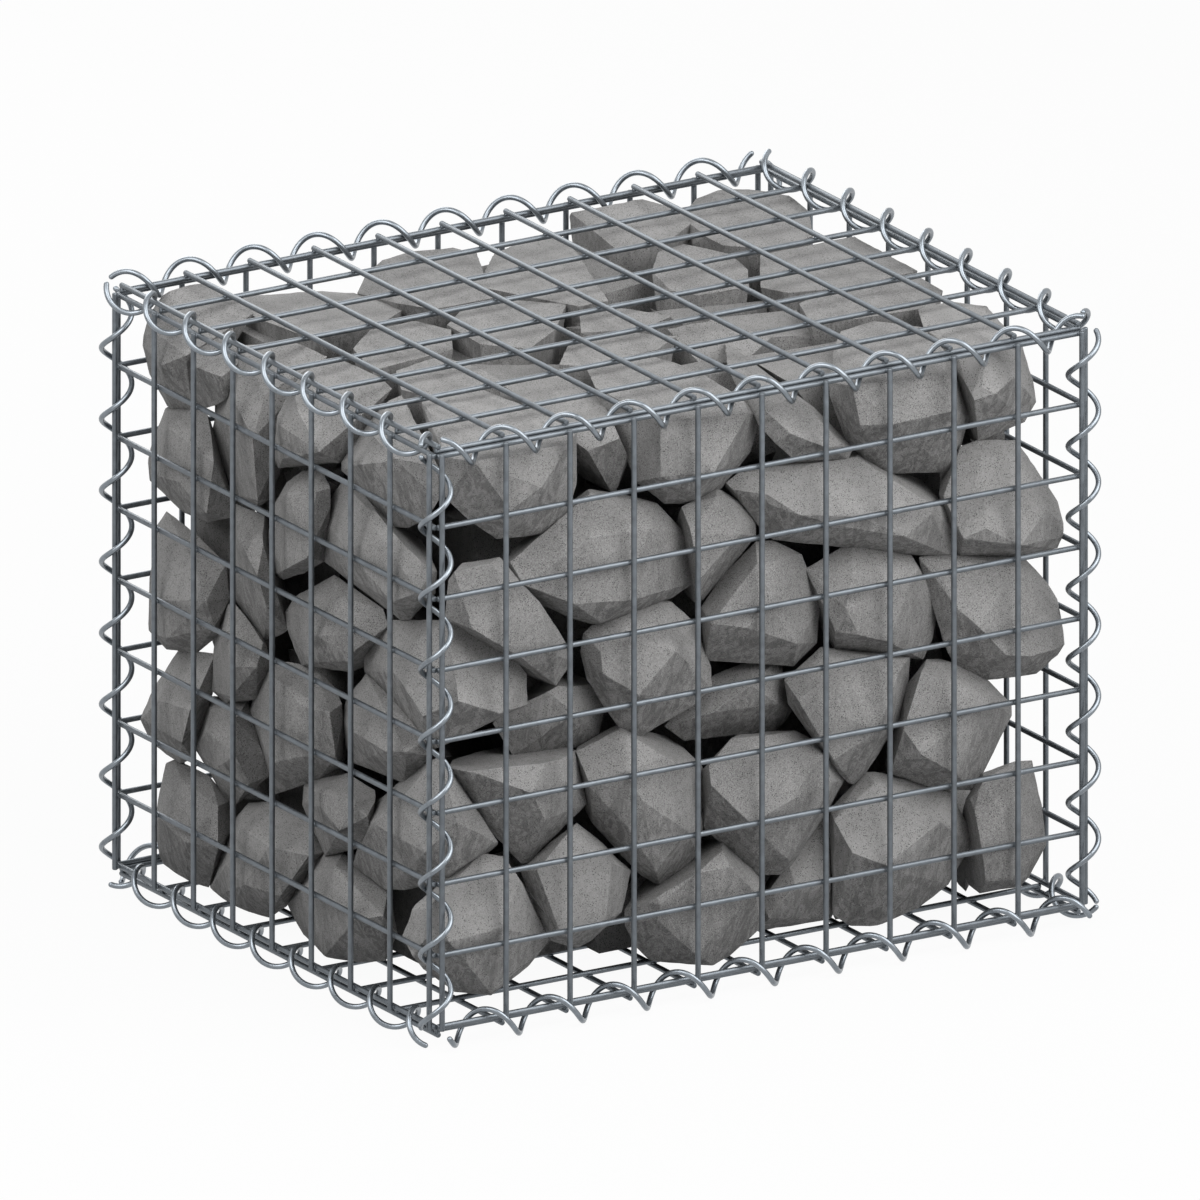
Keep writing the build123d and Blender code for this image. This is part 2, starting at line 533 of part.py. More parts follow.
stone(
    "left_stones_4",
    left=[(3.84, 6.1), (4.18, 6.53), (4.57, 6.8), (5.1, 6.95), (5.5, 6.85), (5.1, 6.2),
          (5.1, 5.7), (4.6, 5.4), (4.1, 5.17), (3.88, 5.19), (3.7, 5.6), (4.1, 5.3, 0.35),
          (4.7, 5.65, 0.45), (4.2, 6.4, 0.4), (4.9, 6.6, 0.35)],
)
stone(
    "left_stones_4",
    left=[(2.87, 5.85), (3.7, 5.9), (4.0, 5.2), (4.3, 4.9), (4.2, 4.5), (3.86, 4.3),
          (3.58, 4.18), (2.87, 4.53), (2.77, 4.9), (2.8, 5.5), (2.95, 5.4, 0.4),
          (3.42, 5.03, 0.55), (3.65, 4.65, 0.45), (3.6, 5.6, 0.35)],
)

# Left side, third course
stone(
    "left_stones_3",
    left=[(0.9, 5.0), (1.12, 5.25), (1.85, 5.15), (2.6, 4.95), (2.7, 4.5), (2.4, 3.9),
          (1.85, 3.51), (1.12, 3.36), (0.6, 3.5), (0.65, 4.1), (1.1, 3.5, 0.45),
          (1.0, 4.0, 0.5), (2.1, 4.3, 0.45), (2.3, 4.0, 0.3), (1.7, 4.8, 0.35),
          (0.95, 4.7, 0.3)],
)
stone(
    "left_stones_3",
    left=[(4.4, 5.0), (4.75, 5.1), (5.38, 5.57), (6.6, 5.45), (6.72, 5.25), (6.3, 4.5),
          (5.84, 4.36), (4.57, 4.09), (4.17, 4.5), (4.15, 4.7), (4.75, 4.8, 0.4),
          (4.9, 4.6, 0.5), (5.7, 4.85, 0.4), (4.8, 4.2, 0.35), (6.1, 4.6, 0.3),
          (5.5, 5.3, 0.25)],
)
stone(
    "left_stones_3",
    left=[(2.42, 4.3), (2.85, 4.45), (3.58, 4.2), (3.75, 3.85), (3.4, 3.3), (2.9, 3.15),
          (2.65, 3.02), (2.27, 3.1), (2.33, 3.7), (2.5, 4.1, 0.3), (2.8, 3.57, 0.45),
          (3.4, 3.75, 0.35), (2.75, 3.15, 0.35)],
)
stone(
    "left_stones_3",
    left=[(5.57, 3.6), (5.72, 3.95), (6.2, 4.42), (7.0, 4.3), (7.9, 4.05), (7.9, 3.75),
          (7.15, 3.18), (6.49, 3.13), (5.9, 3.1), (5.7, 3.25), (5.9, 3.52, 0.4),
          (6.68, 3.48, 0.5), (7.2, 3.62, 0.45), (6.6, 4.1, 0.3)],
)

# Left side, second course
stone(
    "left_stones_2",
    left=[(6.3, 2.6), (6.72, 2.9), (7.49, 3.53), (7.2, 1.7), (6.7, 1.55), (5.9, 1.67),
          (6.28, 2.4), (6.4, 2.4, 0.4), (7.0, 2.9, 0.4), (7.7, 2.35, 0.45)],
    front=[(0.05, 3.75), (0.3, 3.43), (0.95, 2.38), (0.85, 2.3), (0.28, 2.0), (0.3, 2.8, 0.4)],
)
stone(
    "left_stones_2",
    left=[(3.23, 3.55), (3.7, 3.82), (4.3, 4.05), (5.0, 4.1), (5.7, 3.92), (5.6, 3.4),
          (5.55, 2.95), (4.95, 2.61), (3.9, 2.1), (3.75, 2.4), (3.19, 3.15), (3.95, 3.7, 0.4),
          (4.55, 3.5, 0.5), (5.25, 3.6, 0.4), (3.8, 2.5, 0.4), (4.4, 2.75, 0.45),
          (5.4, 3.05, 0.3)],
)
stone(
    "left_stones_2",
    left=[(1.15, 3.05), (1.42, 3.4), (2.33, 3.65), (2.3, 3.1), (1.9, 2.4), (1.77, 2.0),
          (1.46, 1.86), (0.38, 1.97), (0.3, 2.07), (0.85, 2.76), (0.92, 2.57, 0.35),
          (1.7, 2.65, 0.5), (0.5, 2.2, 0.25), (1.5, 2.15, 0.4)],
    repeated=False,
)
stone(
    "left_stones_2",
    left=[(2.0, 3.0), (2.27, 3.1), (2.65, 3.05), (3.19, 3.22), (3.69, 2.6), (3.7, 2.3),
          (2.87, 1.67), (2.65, 1.65), (1.85, 2.15), (1.88, 2.4), (2.0, 2.5, 0.35),
          (2.85, 2.84, 0.45), (2.85, 2.35, 0.55), (3.2, 2.05, 0.35), (2.4, 2.05, 0.4)],
)
stone(
    "left_stones_2",
    left=[(4.57, 2.15), (4.61, 2.45), (4.95, 2.61), (5.7, 2.9), (6.5, 2.85), (6.3, 2.5),
          (6.35, 2.1), (5.8, 1.9), (5.3, 1.75), (5.13, 1.59), (4.88, 1.84), (5.0, 2.45, 0.4),
          (5.03, 2.26, 0.4), (5.9, 2.5, 0.45), (5.5, 2.05, 0.45), (6.2, 2.45, 0.4)],
)

# Left side, bottom course
stone(
    "left_stones_1",
    left=[(0.95, 1.3), (1.12, 1.74), (1.3, 1.84), (2.19, 1.86), (2.69, 1.65), (2.77, 1.3),
          (2.45, 0.85), (2.2, 0.3), (1.69, 0.15), (1.5, 0.17), (0.95, 0.35), (0.85, 0.85),
          (0.95, 0.92, 0.35), (1.58, 0.78, 0.55), (2.4, 0.92, 0.4), (1.5, 1.6, 0.3),
          (2.4, 1.5, 0.35)],
)
stone(
    "left_stones_1",
    left=[(2.15, 0.5), (2.4, 0.9), (2.87, 1.45), (3.2, 1.76), (3.65, 1.9), (4.72, 1.95),
          (5.07, 1.6), (4.4, 1.05), (4.15, 0.6), (3.69, 0.3), (3.2, 0.15), (2.69, 0.12),
          (2.27, 0.18), (2.9, 1.38, 0.4), (3.7, 1.3, 0.55), (4.7, 1.45, 0.35),
          (2.45, 0.8, 0.35), (3.1, 0.6, 0.5), (4.0, 0.7, 0.4)],
)
stone(
    "left_stones_1",
    left=[(4.11, 0.72), (4.3, 1.03), (4.72, 1.34), (5.13, 1.59), (5.6, 1.74), (6.72, 1.53),
          (6.95, 1.03), (6.65, 0.55), (5.42, 0.15), (4.99, 0.12), (4.38, 0.49),
          (5.3, 0.95, 0.5), (5.9, 0.9, 0.55), (5.15, 0.2, 0.3), (6.6, 1.15, 0.35),
          (5.4, 1.5, 0.35), (4.5, 1.0, 0.3)],
)
stone(
    "left_stones_1",
    left=[(3.8, 2.0), (4.0, 2.4), (4.6, 2.45), (4.75, 2.0)],
    behind=0.6,
)

# Under the lid, along the back
stone(
    "top_stones_back",
    lid=[(6.9, 7.85, 0.03), (7.95, 7.85, 0.03), (8.15, 7.2, 0.1), (8.0, 6.6, 0.15),
         (7.2, 6.0, 0.2), (6.6, 6.2, 0.2), (6.35, 6.9, 0.45), (5.95, 5.2, 0.7), (6.5, 5.6, 0.6)],
)
stone(
    "top_stones_back",
    lid=[(8.05, 6.9, 0.2), (8.6, 7.4, 0.2), (9.05, 7.57, 0.13), (9.4, 7.4, 0.2),
         (9.72, 6.9, 0.15), (9.6, 6.2, 0.2), (9.1, 5.3, 0.25), (8.4, 5.1, 0.2), (7.9, 5.6, 0.2),
         (7.9, 6.4, 0.15)],
)
stone(
    "top_stones_back",
    lid=[(2.7, 6.4, 0.45), (3.2, 7.0, 0.35), (3.7, 7.4, 0.2), (4.2, 7.5, 0.16),
         (4.75, 7.35, 0.2), (4.9, 7.0, 0.25), (4.65, 6.45, 0.2), (4.15, 5.9, 0.1),
         (4.1, 5.3, 0.1), (3.2, 5.3, 0.15), (2.9, 5.8, 0.2)],
)
stone(
    "top_stones_back",
    lid=[(4.75, 6.4, 0.35), (5.1, 6.85, 0.4), (5.6, 7.05, 0.33), (6.2, 7.05, 0.3),
         (6.05, 6.3, 0.15), (5.7, 5.3, 0.1), (5.35, 4.4, 0.1), (4.9, 4.4, 0.1), (4.5, 5.2, 0.1),
         (4.2, 5.8, 0.15)],
)
stone(
    "top_stones_back",
    lid=[(1.15, 7.05, 0.33), (1.5, 7.0, 0.35), (2.3, 6.7, 0.46), (2.65, 6.45, 0.5),
         (3.0, 5.6, 0.3), (2.2, 5.1, 0.15), (1.15, 5.2, 0.15), (1.0, 6.2, 0.2)],
)

# Under the lid, middle and right
stone(
    "top_stones_middle",
    lid=[(6.3, 4.3, 0.2), (6.5, 5.1, 0.15), (7.0, 5.75, 0.1), (7.45, 5.85, 0.1),
         (7.75, 5.2, 0.12), (7.6, 4.5, 0.15), (7.25, 3.9, 0.2), (6.5, 3.95, 0.25),
         (5.9, 4.0, 0.4)],
)
stone(
    "top_stones_middle",
    lid=[(2.95, 3.7, 0.12), (3.0, 4.6, 0.1), (3.6, 5.15, 0.08), (4.2, 5.1, 0.1),
         (4.8, 4.5, 0.12), (4.1, 3.7, 0.15), (3.4, 3.2, 0.18)],
)
stone(
    "top_stones_middle",
    lid=[(1.15, 3.5, 0.12), (1.4, 4.4, 0.1), (2.0, 4.95, 0.08), (2.7, 4.95, 0.1),
         (2.9, 4.4, 0.12), (2.5, 3.7, 0.15)],
)
stone(
    "top_stones_middle",
    lid=[(4.35, 3.4, 0.12), (4.7, 4.0, 0.1), (5.3, 4.0, 0.1), (5.7, 3.35, 0.12),
         (5.1, 3.1, 0.12)],
)
stone(
    "top_stones_right",
    lid=[(8.1, 4.95, 0.2), (8.9, 4.95, 0.2), (9.55, 4.95, 0.25), (9.4, 4.2, 0.25),
         (9.5, 3.3, 0.25), (8.4, 3.2, 0.15), (7.6, 3.4, 0.15), (7.4, 3.8, 0.2), (7.75, 4.4, 0.2)],
)
stone(
    "top_stones_right",
    lid=[(7.5, 3.0, 0.15), (8.4, 3.1, 0.12), (9.4, 3.1, 0.25), (9.35, 2.4, 0.3),
         (8.9, 1.9, 0.2), (7.8, 2.0, 0.15), (7.2, 2.2, 0.2)],
)

# Under the lid, towards the front
stone(
    "top_stones_front",
    lid=[(5.45, 3.0, 0.08), (6.2, 3.05, 0.08), (6.4, 2.4, 0.1), (5.6, 2.35, 0.08),
         (5.3, 1.9, 0.5), (6.3, 1.7, 0.5)],
)
stone(
    "top_stones_front",
    lid=[(3.4, 2.4, 0.1), (3.9, 3.0, 0.08), (4.9, 3.05, 0.08), (5.3, 2.6, 0.12),
         (4.8, 2.25, 0.12), (3.6, 2.2, 0.12)],
)
stone(
    "top_stones_front",
    lid=[(1.05, 2.6, 0.1), (1.4, 3.3, 0.08), (2.2, 3.5, 0.1), (2.38, 2.8, 0.1),
         (2.35, 2.2, 0.12), (1.2, 2.2, 0.12)],
)
stone(
    "top_stones_front",
    lid=[(2.45, 2.5, 0.35), (3.2, 2.9, 0.2), (3.75, 3.25, 0.2), (4.1, 3.3, 0.3),
         (3.4, 2.5, 0.35)],
)

# Stones that show between those of the left side, near its back edge
stone(
    "left_stones_5",
    left=[(1.7, 6.5), (1.75, 7.4), (2.6, 7.6), (2.75, 6.9), (2.5, 6.3)],
    behind=inner_row,
    repeated=False,
)
stone(
    "left_stones_4",
    left=[(1.2, 5.2), (1.6, 6.0), (2.6, 6.6), (3.4, 6.4), (3.5, 5.4), (3.1, 4.3), (2.4, 4.2),
          (1.9, 4.9)],
    behind=inner_row,
    repeated=False,
)
stone(
    "left_stones_3",
    left=[(1.4, 2.9), (1.6, 3.9), (2.2, 4.2), (3.0, 3.9), (3.0, 3.0), (2.4, 2.6)],
    behind=inner_row,
    repeated=False,
)
stone(
    "left_stones_2",
    left=[(1.5, 1.4), (1.6, 2.2), (2.4, 2.5), (3.2, 2.2), (3.3, 1.3), (2.6, 0.8), (1.9, 0.9)],
    behind=inner_row,
    repeated=False,
)

# The back and the right side repeat the lower courses of the front and the left side,
# turned half round.
half_turn = np.array([-1, -1, 1])
for shown, hidden_side in (("front", "back"), ("left", "right")):
    for node, corners in to_repeat:
        course = node[-1]
        if node.startswith(shown) and course != "5":
            sketched.append((f"{hidden_side}_stones_{course}", corners * half_turn))


# Shape of a hidden stone, as shares of its place on the grid: half its height, the least
# reach of a corner, the taper to its top and bottom, and how far corners and middle stray
half_rise = 0.62
least_reach = 0.85
end_taper = 0.85
corner_stray = 0.2
middle_stray = 0.1
fill_seed = 7


def rough_block(middle, spacing, rng):
    """Return the corners of an irregular block that more than fills its share of the room."""
    corners = []
    for layer, taper in ((-half_rise, end_taper), (0.0, 1.0), (half_rise, end_taper)):
        for corner in range(4):
            turn = pi / 2 * (corner + 0.5 + rng.uniform(-corner_stray, corner_stray))
            reach = rng.uniform(least_reach, 1.0) * taper
            outwards = np.array([reach * cos(turn), reach * sin(turn), layer])
            corners.append(middle + outwards * spacing)
    return np.array(corners)


# The hidden stones fill what is left, on a loose grid
rng = Random(fill_seed)
counts = np.round(np.array([cells_long, cells_deep, cells_high]) / stone_cells).astype(int)
spacing = np.array([length, depth, height]) / counts
for course in range(counts[2]):
    for rank in range(counts[1]):
        for file in range(counts[0]):
            stray = np.array([rng.uniform(-middle_stray, middle_stray) for axis in range(3)])
            middle = corner_at + (np.array([file, rank, course]) + 0.5 + stray) * spacing
            sketched.append((f"core_stones_{course + 1}", rough_block(middle, spacing, rng)))


# Corners and planes that agree to this are the same one
same = 1e-6


def distinct(rows):
    """Return the rows without their repeats."""
    keep = np.unique(np.round(rows / same), axis=0, return_index=True)[1]
    return rows[keep]


def parting_plane(laid, other):
    """Return the facet plane of a laid stone that the other stone crosses least."""
    planes = ConvexHull(laid).equations
    crossings = -planes[:, 3] - (other @ planes[:, :3].T).min(axis=0)
    least = np.argmin(crossings)
    return planes[least], crossings[least]


def hewn_corners(planes):
    """Return the corners of the stone that the planes leave, or nothing if it is too thin."""
    thickness = linprog(
        [0, 0, 0, -1],
        A_ub=np.hstack([planes[:, :3], np.ones((len(planes), 1))]),
        b_ub=-planes[:, 3],
        bounds=[(None, None)] * 3 + [(0, None)],
    )
    if thickness.status != 0 or 2 * thickness.x[3] < least_stone:
        return None
    corners = HalfspaceIntersection(planes, thickness.x[:3]).intersections
    return distinct(corners)


# Lay the stones in order. One that is laid keeps its shape, and the next is cut back to
# lie against it.
laid = []
for node, corners in sketched:
    limits = core_room if node.startswith("core") else fill_room
    planes = np.vstack([ConvexHull(corners).equations, limits])
    for other_node, other, other_planes in laid:
        if np.any(other.min(axis=0) > corners.max(axis=0) + joint_gap):
            continue
        if np.any(other.max(axis=0) < corners.min(axis=0) - joint_gap):
            continue
        facet, crossing = parting_plane(other, corners)
        if crossing > -joint_gap:
            planes = np.vstack([planes, np.append(-facet[:3], joint_gap - facet[3])])
    planes = distinct(planes)
    hewn = hewn_corners(planes)
    if hewn is not None:
        laid.append((node, hewn, planes))


def facets(corners, planes):
    """Return the flat faces of a stone, each as its corners in order round it."""
    outlines = []
    for plane in planes:
        normal = plane[:3]
        on_face = corners[np.abs(corners @ normal + plane[3]) < same]
        if len(on_face) < 3:
            continue
        centre = on_face.mean(axis=0)
        across = on_face[0] - centre
        across /= np.linalg.norm(across)
        up = np.cross(normal, across)
        turns = np.arctan2((on_face - centre) @ up, (on_face - centre) @ across)
        outlines.append(on_face[np.argsort(turns)])
    return outlines


for name in dict.fromkeys(node for node, corners, planes in laid):
    with BuildPart() as heap:
        for node, corners, planes in laid:
            if node == name:
                faces = [
                    Face(Wire.make_polygon([Vector(*corner) for corner in outline]))
                    for outline in facets(corners, planes)
                ]
                add(Solid(Shell(faces)))
    heap.part.label = name
    export_step(heap.part, f"parts/{name}.step")
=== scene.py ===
"""Dress a stone-filled gabion basket: zinc-coated mesh and binders round split grey stone."""

import logging
from dataclasses import dataclass
from enum import Enum
from math import cos, pi, radians, sin
from typing import Any, Callable, Iterable, Iterator

import bmesh
import bpy
from mathutils import Matrix, Vector, noise


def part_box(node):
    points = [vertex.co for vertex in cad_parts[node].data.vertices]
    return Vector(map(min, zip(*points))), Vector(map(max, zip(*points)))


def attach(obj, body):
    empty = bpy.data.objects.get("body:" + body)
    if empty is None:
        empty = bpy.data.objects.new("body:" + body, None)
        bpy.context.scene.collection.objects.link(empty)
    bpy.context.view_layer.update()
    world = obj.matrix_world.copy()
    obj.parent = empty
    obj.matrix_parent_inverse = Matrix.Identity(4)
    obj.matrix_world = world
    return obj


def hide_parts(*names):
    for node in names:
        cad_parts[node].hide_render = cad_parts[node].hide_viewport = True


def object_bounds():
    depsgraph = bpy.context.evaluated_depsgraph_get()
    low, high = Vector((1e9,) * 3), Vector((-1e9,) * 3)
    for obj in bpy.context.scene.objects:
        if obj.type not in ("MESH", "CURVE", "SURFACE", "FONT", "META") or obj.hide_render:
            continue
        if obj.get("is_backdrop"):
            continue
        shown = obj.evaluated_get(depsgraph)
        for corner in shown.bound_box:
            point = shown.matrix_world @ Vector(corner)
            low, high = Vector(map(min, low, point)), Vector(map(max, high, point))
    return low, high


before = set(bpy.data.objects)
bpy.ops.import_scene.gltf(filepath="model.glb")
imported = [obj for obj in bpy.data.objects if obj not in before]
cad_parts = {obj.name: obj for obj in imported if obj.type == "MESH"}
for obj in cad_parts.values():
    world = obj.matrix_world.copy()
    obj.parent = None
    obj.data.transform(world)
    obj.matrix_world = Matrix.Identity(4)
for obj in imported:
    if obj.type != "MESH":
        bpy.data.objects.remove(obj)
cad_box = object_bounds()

log = logging.getLogger("gabion")
MILLIMETRE = 0.001
# the point attribute that gives each stone a tone of its own
TONE = "tone"


class Term:
    """A socket of a node tree that takes part in sums written as Python expressions."""

    def __init__(self, tree: "Tree", socket: bpy.types.NodeSocket) -> None:
        """Wrap a socket.

        Args:
            tree: The tree that the socket's node belongs to.
            socket: The output socket that carries the value.
        """
        self.tree = tree
        self.socket = socket

    def _math(self, operation: str, *values: Any, clamp: bool = False) -> "Term":
        """Add one Math node.

        Args:
            operation: The node's operation.
            values: Its inputs, as numbers or terms.
            clamp: Whether the result is held between 0 and 1.

        Returns:
            The node's result.
        """
        settings = {"operation": operation, "use_clamp": clamp}
        return self.tree.term("ShaderNodeMath", settings, dict(enumerate(values)))

    def __add__(self, other: Any) -> "Term":
        """Return self + other."""
        return self._math("ADD", self, other)

    __radd__ = __add__

    def __sub__(self, other: Any) -> "Term":
        """Return self - other."""
        return self._math("SUBTRACT", self, other)

    def __rsub__(self, other: Any) -> "Term":
        """Return other - self."""
        return self._math("SUBTRACT", other, self)

    def __mul__(self, other: Any) -> "Term":
        """Return self * other."""
        return self._math("MULTIPLY", self, other)

    __rmul__ = __mul__

    def over(self, edge: float, width: float) -> "Term":
        """Return 0 below an edge, 1 above it, and a ramp of the given width between."""
        scale = 1.0 / width
        return self._math("MULTIPLY_ADD", self, scale, 0.5 - edge * scale, clamp=True)

    def clamped(self) -> "Term":
        """Return the value held between 0 and 1."""
        return self._math("ADD", self, 0.0, clamp=True)


class Tree:
    """A shader or geometry tree that is built node by node."""

    def __init__(self, tree: bpy.types.NodeTree) -> None:
        """Start from an empty tree.

        Args:
            tree: Blender's own node tree, whose nodes are taken out.
        """
        self.tree = tree
        tree.nodes.clear()

    def node(
        self, kind: str, settings: dict | None = None, inputs: dict | None = None
    ) -> bpy.types.Node:
        """Add a node.

        Args:
            kind: Its type, such as ShaderNodeTexNoise.
            settings: Properties of the node, set first.
            inputs: Numbers, vectors, sockets or terms for its sockets, by name or number.

        Returns:
            The new node.
        """
        made = self.tree.nodes.new(kind)
        for name, value in (settings or {}).items():
            setattr(made, name, value)
        for name, value in (inputs or {}).items():
            socket = made.inputs[name]
            if isinstance(value, Term):
                value = value.socket
            if isinstance(value, bpy.types.NodeSocket):
                self.tree.links.new(value, socket)
            else:
                socket.default_value = value
        return made

    def term(
        self, kind: str, settings: dict | None = None, inputs: dict | None = None, output: Any = 0
    ) -> Term:
        """Add a node and wrap one of its outputs.

        Args:
            kind: The node's type.
            settings: Properties of the node, set first.
            inputs: Values or links for its sockets.
            output: The name or number of the output.

        Returns:
            The output as a term.
        """
        return Term(self, self.node(kind, settings, inputs).outputs[output])

    def noise(
        self, place: Any, scale: Any, detail: float, roughness: float = 0.5, warp: float = 0.0
    ) -> Term:
        """Add a noise pattern.

        Args:
            place: Where it is read, as a vector socket or term.
            scale: Its frequency per metre, as a number or a socket.
            detail: Its number of octaves.
            roughness: How strong the finer octaves are.
            warp: How far the pattern distorts itself.

        Returns:
            The pattern, about 0.5.
        """
        return self.term("ShaderNodeTexNoise", None, {
            "Vector": place, "Scale": scale, "Detail": detail, "Roughness": roughness,
            "Distortion": warp,
        }, "Fac")

    def blend(self, share: Any, first: Any, second: Any) -> Term:
        """Mix two colours.

        Args:
            share: The share of the second colour.
            first: The first colour.
            second: The second colour.

        Returns:
            The mixed colour.
        """
        made = self.node("ShaderNodeMix", {"data_type": "RGBA"}, {"Factor": share})
        for name, colour in (("A", first), ("B", second)):
            socket = [s for s in made.inputs if s.name == name and s.type == "RGBA"][0]
            if isinstance(colour, Term):
                self.tree.links.new(colour.socket, socket)
            else:
                socket.default_value = colour
        return Term(self, [s for s in made.outputs if s.type == "RGBA"][0])


def grey(level: float, warmth: float = 0.0) -> tuple[float, float, float, float]:
    """Return a grey, made warmer by a positive share and cooler by a negative one."""
    return (level * (1 + warmth), level, level * (1 - warmth), 1.0)


def new_material(name: str) -> tuple[bpy.types.Material, Tree]:
    """Make an empty node material.

    Args:
        name: The material's name.

    Returns:
        The material and its tree.
    """
    material = bpy.data.materials.new(name)
    material.use_nodes = True
    return material, Tree(material.node_tree)


@dataclass(frozen=True)
class ZincFinish:
    """Zinc-coated drawn wire: a dull blue grey with faint patches and a fine grain."""

    name: str
    level: float
    roughness: float
    warmth: float = -0.1
    metallic: float = 0.85
    dull_patch: float = 0.74
    bright_patch: float = 1.22
    roughness_range: float = 0.28
    patches_per_metre: float = 160.0
    grain_per_metre: float = 2600.0
    relief_depth: float = 0.03 * MILLIMETRE
    relief_strength: float = 0.25

    def material(self) -> bpy.types.Material:
        """Build the finish as nodes.

        Returns:
            The new material.
        """
        made, tree = new_material(self.name)
        place = tree.term("ShaderNodeTexCoord", output="Object")
        patches = tree.noise(place, self.patches_per_metre, detail=3.0, roughness=0.6)
        grain = tree.noise(place, self.grain_per_metre, detail=2.0, roughness=0.7)
        dull = grey(self.level * self.dull_patch, self.warmth)
        bright = grey(self.level * self.bright_patch, self.warmth)
        share = (patches * 0.7 + grain * 0.3).over(edge=0.5, width=0.45)
        colour = tree.blend(share, dull, bright)
        relief = tree.node("ShaderNodeBump", None, {
            "Strength": self.relief_strength,
            "Distance": self.relief_depth,
            "Height": grain * 0.5 + patches * 0.5,
        })
        shader = tree.node("ShaderNodeBsdfPrincipled", None, {
            "Base Color": colour,
            "Metallic": self.metallic,
            "Roughness": self.roughness + (patches - 0.5) * self.roughness_range,
            "Normal": relief.outputs["Normal"],
        })
        tree.node("ShaderNodeOutputMaterial", None, {"Surface": shader.outputs["BSDF"]})
        return made


@dataclass(frozen=True)
class SplitStoneFinish:
    """Fresh split grey stone: cloudy grey, fine dark grains and a dull, sandy surface.

    The five tones are shares of the level, and the three cover values say how fully the sand,
    the flecks and the streaks hide what is under them. The dark streaks are laid on steep and
    overhanging faces only, so they also paint shade onto the faces that turn down from above.
    """

    name: str = "split_stone"
    level: float = 0.2
    warmth: float = 0.014
    dark_cloud: float = 0.7
    light_cloud: float = 1.25
    light_sand: float = 1.6
    dark_fleck: float = 0.14
    dark_streak: float = 0.36
    sand_cover: float = 0.7
    fleck_cover: float = 0.9
    streak_cover: float = 0.55
    roughness: float = 0.86
    roughness_range: float = 0.16
    gloss: float = 0.25
    clouds_per_metre: float = 26.0
    blotches_per_metre: float = 120.0
    streaks_per_metre: float = 150.0
    streak_stretch: float = 0.28
    grains_per_metre: float = 1100.0
    flecks_per_metre: float = 825.0
    fleck_groups_per_metre: float = 220.0
    relief_depth: float = 0.9 * MILLIMETRE
    relief_strength: float = 0.55

    def tone(self, share: float) -> tuple[float, float, float, float]:
        """Return the stone's grey at a share of its level."""
        return grey(self.level * share, self.warmth)

    def material(self) -> bpy.types.Material:
        """Build the finish as nodes.

        Returns:
            The new material.
        """
        made, tree = new_material(self.name)
        place = tree.term("ShaderNodeTexCoord", output="Object")
        own_tone = tree.term("ShaderNodeAttribute", {"attribute_name": TONE}, None, "Fac")
        clouds = tree.noise(place, self.clouds_per_metre, detail=4.0, roughness=0.6, warp=0.6)
        drawn_out = tree.term("ShaderNodeVectorMath", {"operation": "MULTIPLY"}, {
            0: place, 1: (1.0, 1.0, self.streak_stretch),
        })
        streaks = tree.noise(drawn_out, self.streaks_per_metre, detail=4.0, roughness=0.6, warp=1.4)
        sand = tree.noise(place, self.grains_per_metre, detail=2.0, roughness=0.75)
        flecks = tree.term(
            "ShaderNodeTexVoronoi",
            {"feature": "F1"},
            {"Vector": place, "Scale": self.flecks_per_metre, "Randomness": 1.0},
            "Distance",
        )
        strewn = tree.noise(place, self.fleck_groups_per_metre, detail=1.0)
        dark_flecks = (1 - flecks.over(edge=0.27, width=0.14)) * strewn.over(edge=0.45, width=0.12)
        blotches = tree.noise(place, self.blotches_per_metre, detail=3.0, roughness=0.65)
        cloudiness = (clouds * 0.45 + blotches * 0.3 + own_tone * 0.25).over(edge=0.5, width=0.4)
        body = tree.blend(cloudiness, self.tone(self.dark_cloud), self.tone(self.light_cloud))
        light_grains = sand.over(edge=0.52, width=0.18)
        sandy = tree.blend(light_grains * self.sand_cover, body, self.tone(self.light_sand))
        flecked = tree.blend(dark_flecks * self.fleck_cover, sandy, self.tone(self.dark_fleck))
        facing = tree.term("ShaderNodeNewGeometry", output="Normal")
        upwards = tree.term("ShaderNodeSeparateXYZ", None, {"Vector": facing}, "Z")
        # painted shade: the dark streak tone goes only on steep and overhanging faces, so faces
        # turned down from the light come out darker; the streak pattern itself is the stone's grain
        steep = 1 - upwards.over(edge=-0.12, width=0.5)
        streaks_painted_shade = steep * (1 - streaks.over(edge=0.49, width=0.16))
        colour = tree.blend(streaks_painted_shade * self.streak_cover, flecked, self.tone(self.dark_streak))
        relief = tree.node("ShaderNodeBump", None, {
            "Strength": self.relief_strength,
            "Distance": self.relief_depth,
            "Height": sand * 0.4 + streaks * (steep + 0.2) * 1.8 + blotches * 0.5,
        })
        shader = tree.node("ShaderNodeBsdfPrincipled", None, {
            "Base Color": colour,
            "Roughness": (self.roughness + (sand - 0.5) * self.roughness_range).clamped(),
            "Specular IOR Level": self.gloss,
            "Normal": relief.outputs["Normal"],
        })
        tree.node("ShaderNodeOutputMaterial", None, {"Surface": shader.outputs["BSDF"]})
        return made


def modified(
    mesh: bpy.types.Mesh, kind: str, set_up: Callable[[bpy.types.Modifier], None]
) -> bpy.types.Mesh:
    """Apply one modifier to a mesh.

    Args:
        mesh: The mesh that goes in.
        kind: The modifier's type.
        set_up: Sets the modifier's values.

    Returns:
        The plain mesh that comes out.
    """
    holder = bpy.data.objects.new("holder", mesh)
    bpy.context.scene.collection.objects.link(holder)
    modifier = holder.modifiers.new("once", kind)
    set_up(modifier)
    evaluated = holder.evaluated_get(bpy.context.evaluated_depsgraph_get())
    result = bpy.data.meshes.new_from_object(evaluated)
    holder.modifiers.remove(modifier)
    bpy.data.objects.remove(holder)
    return result


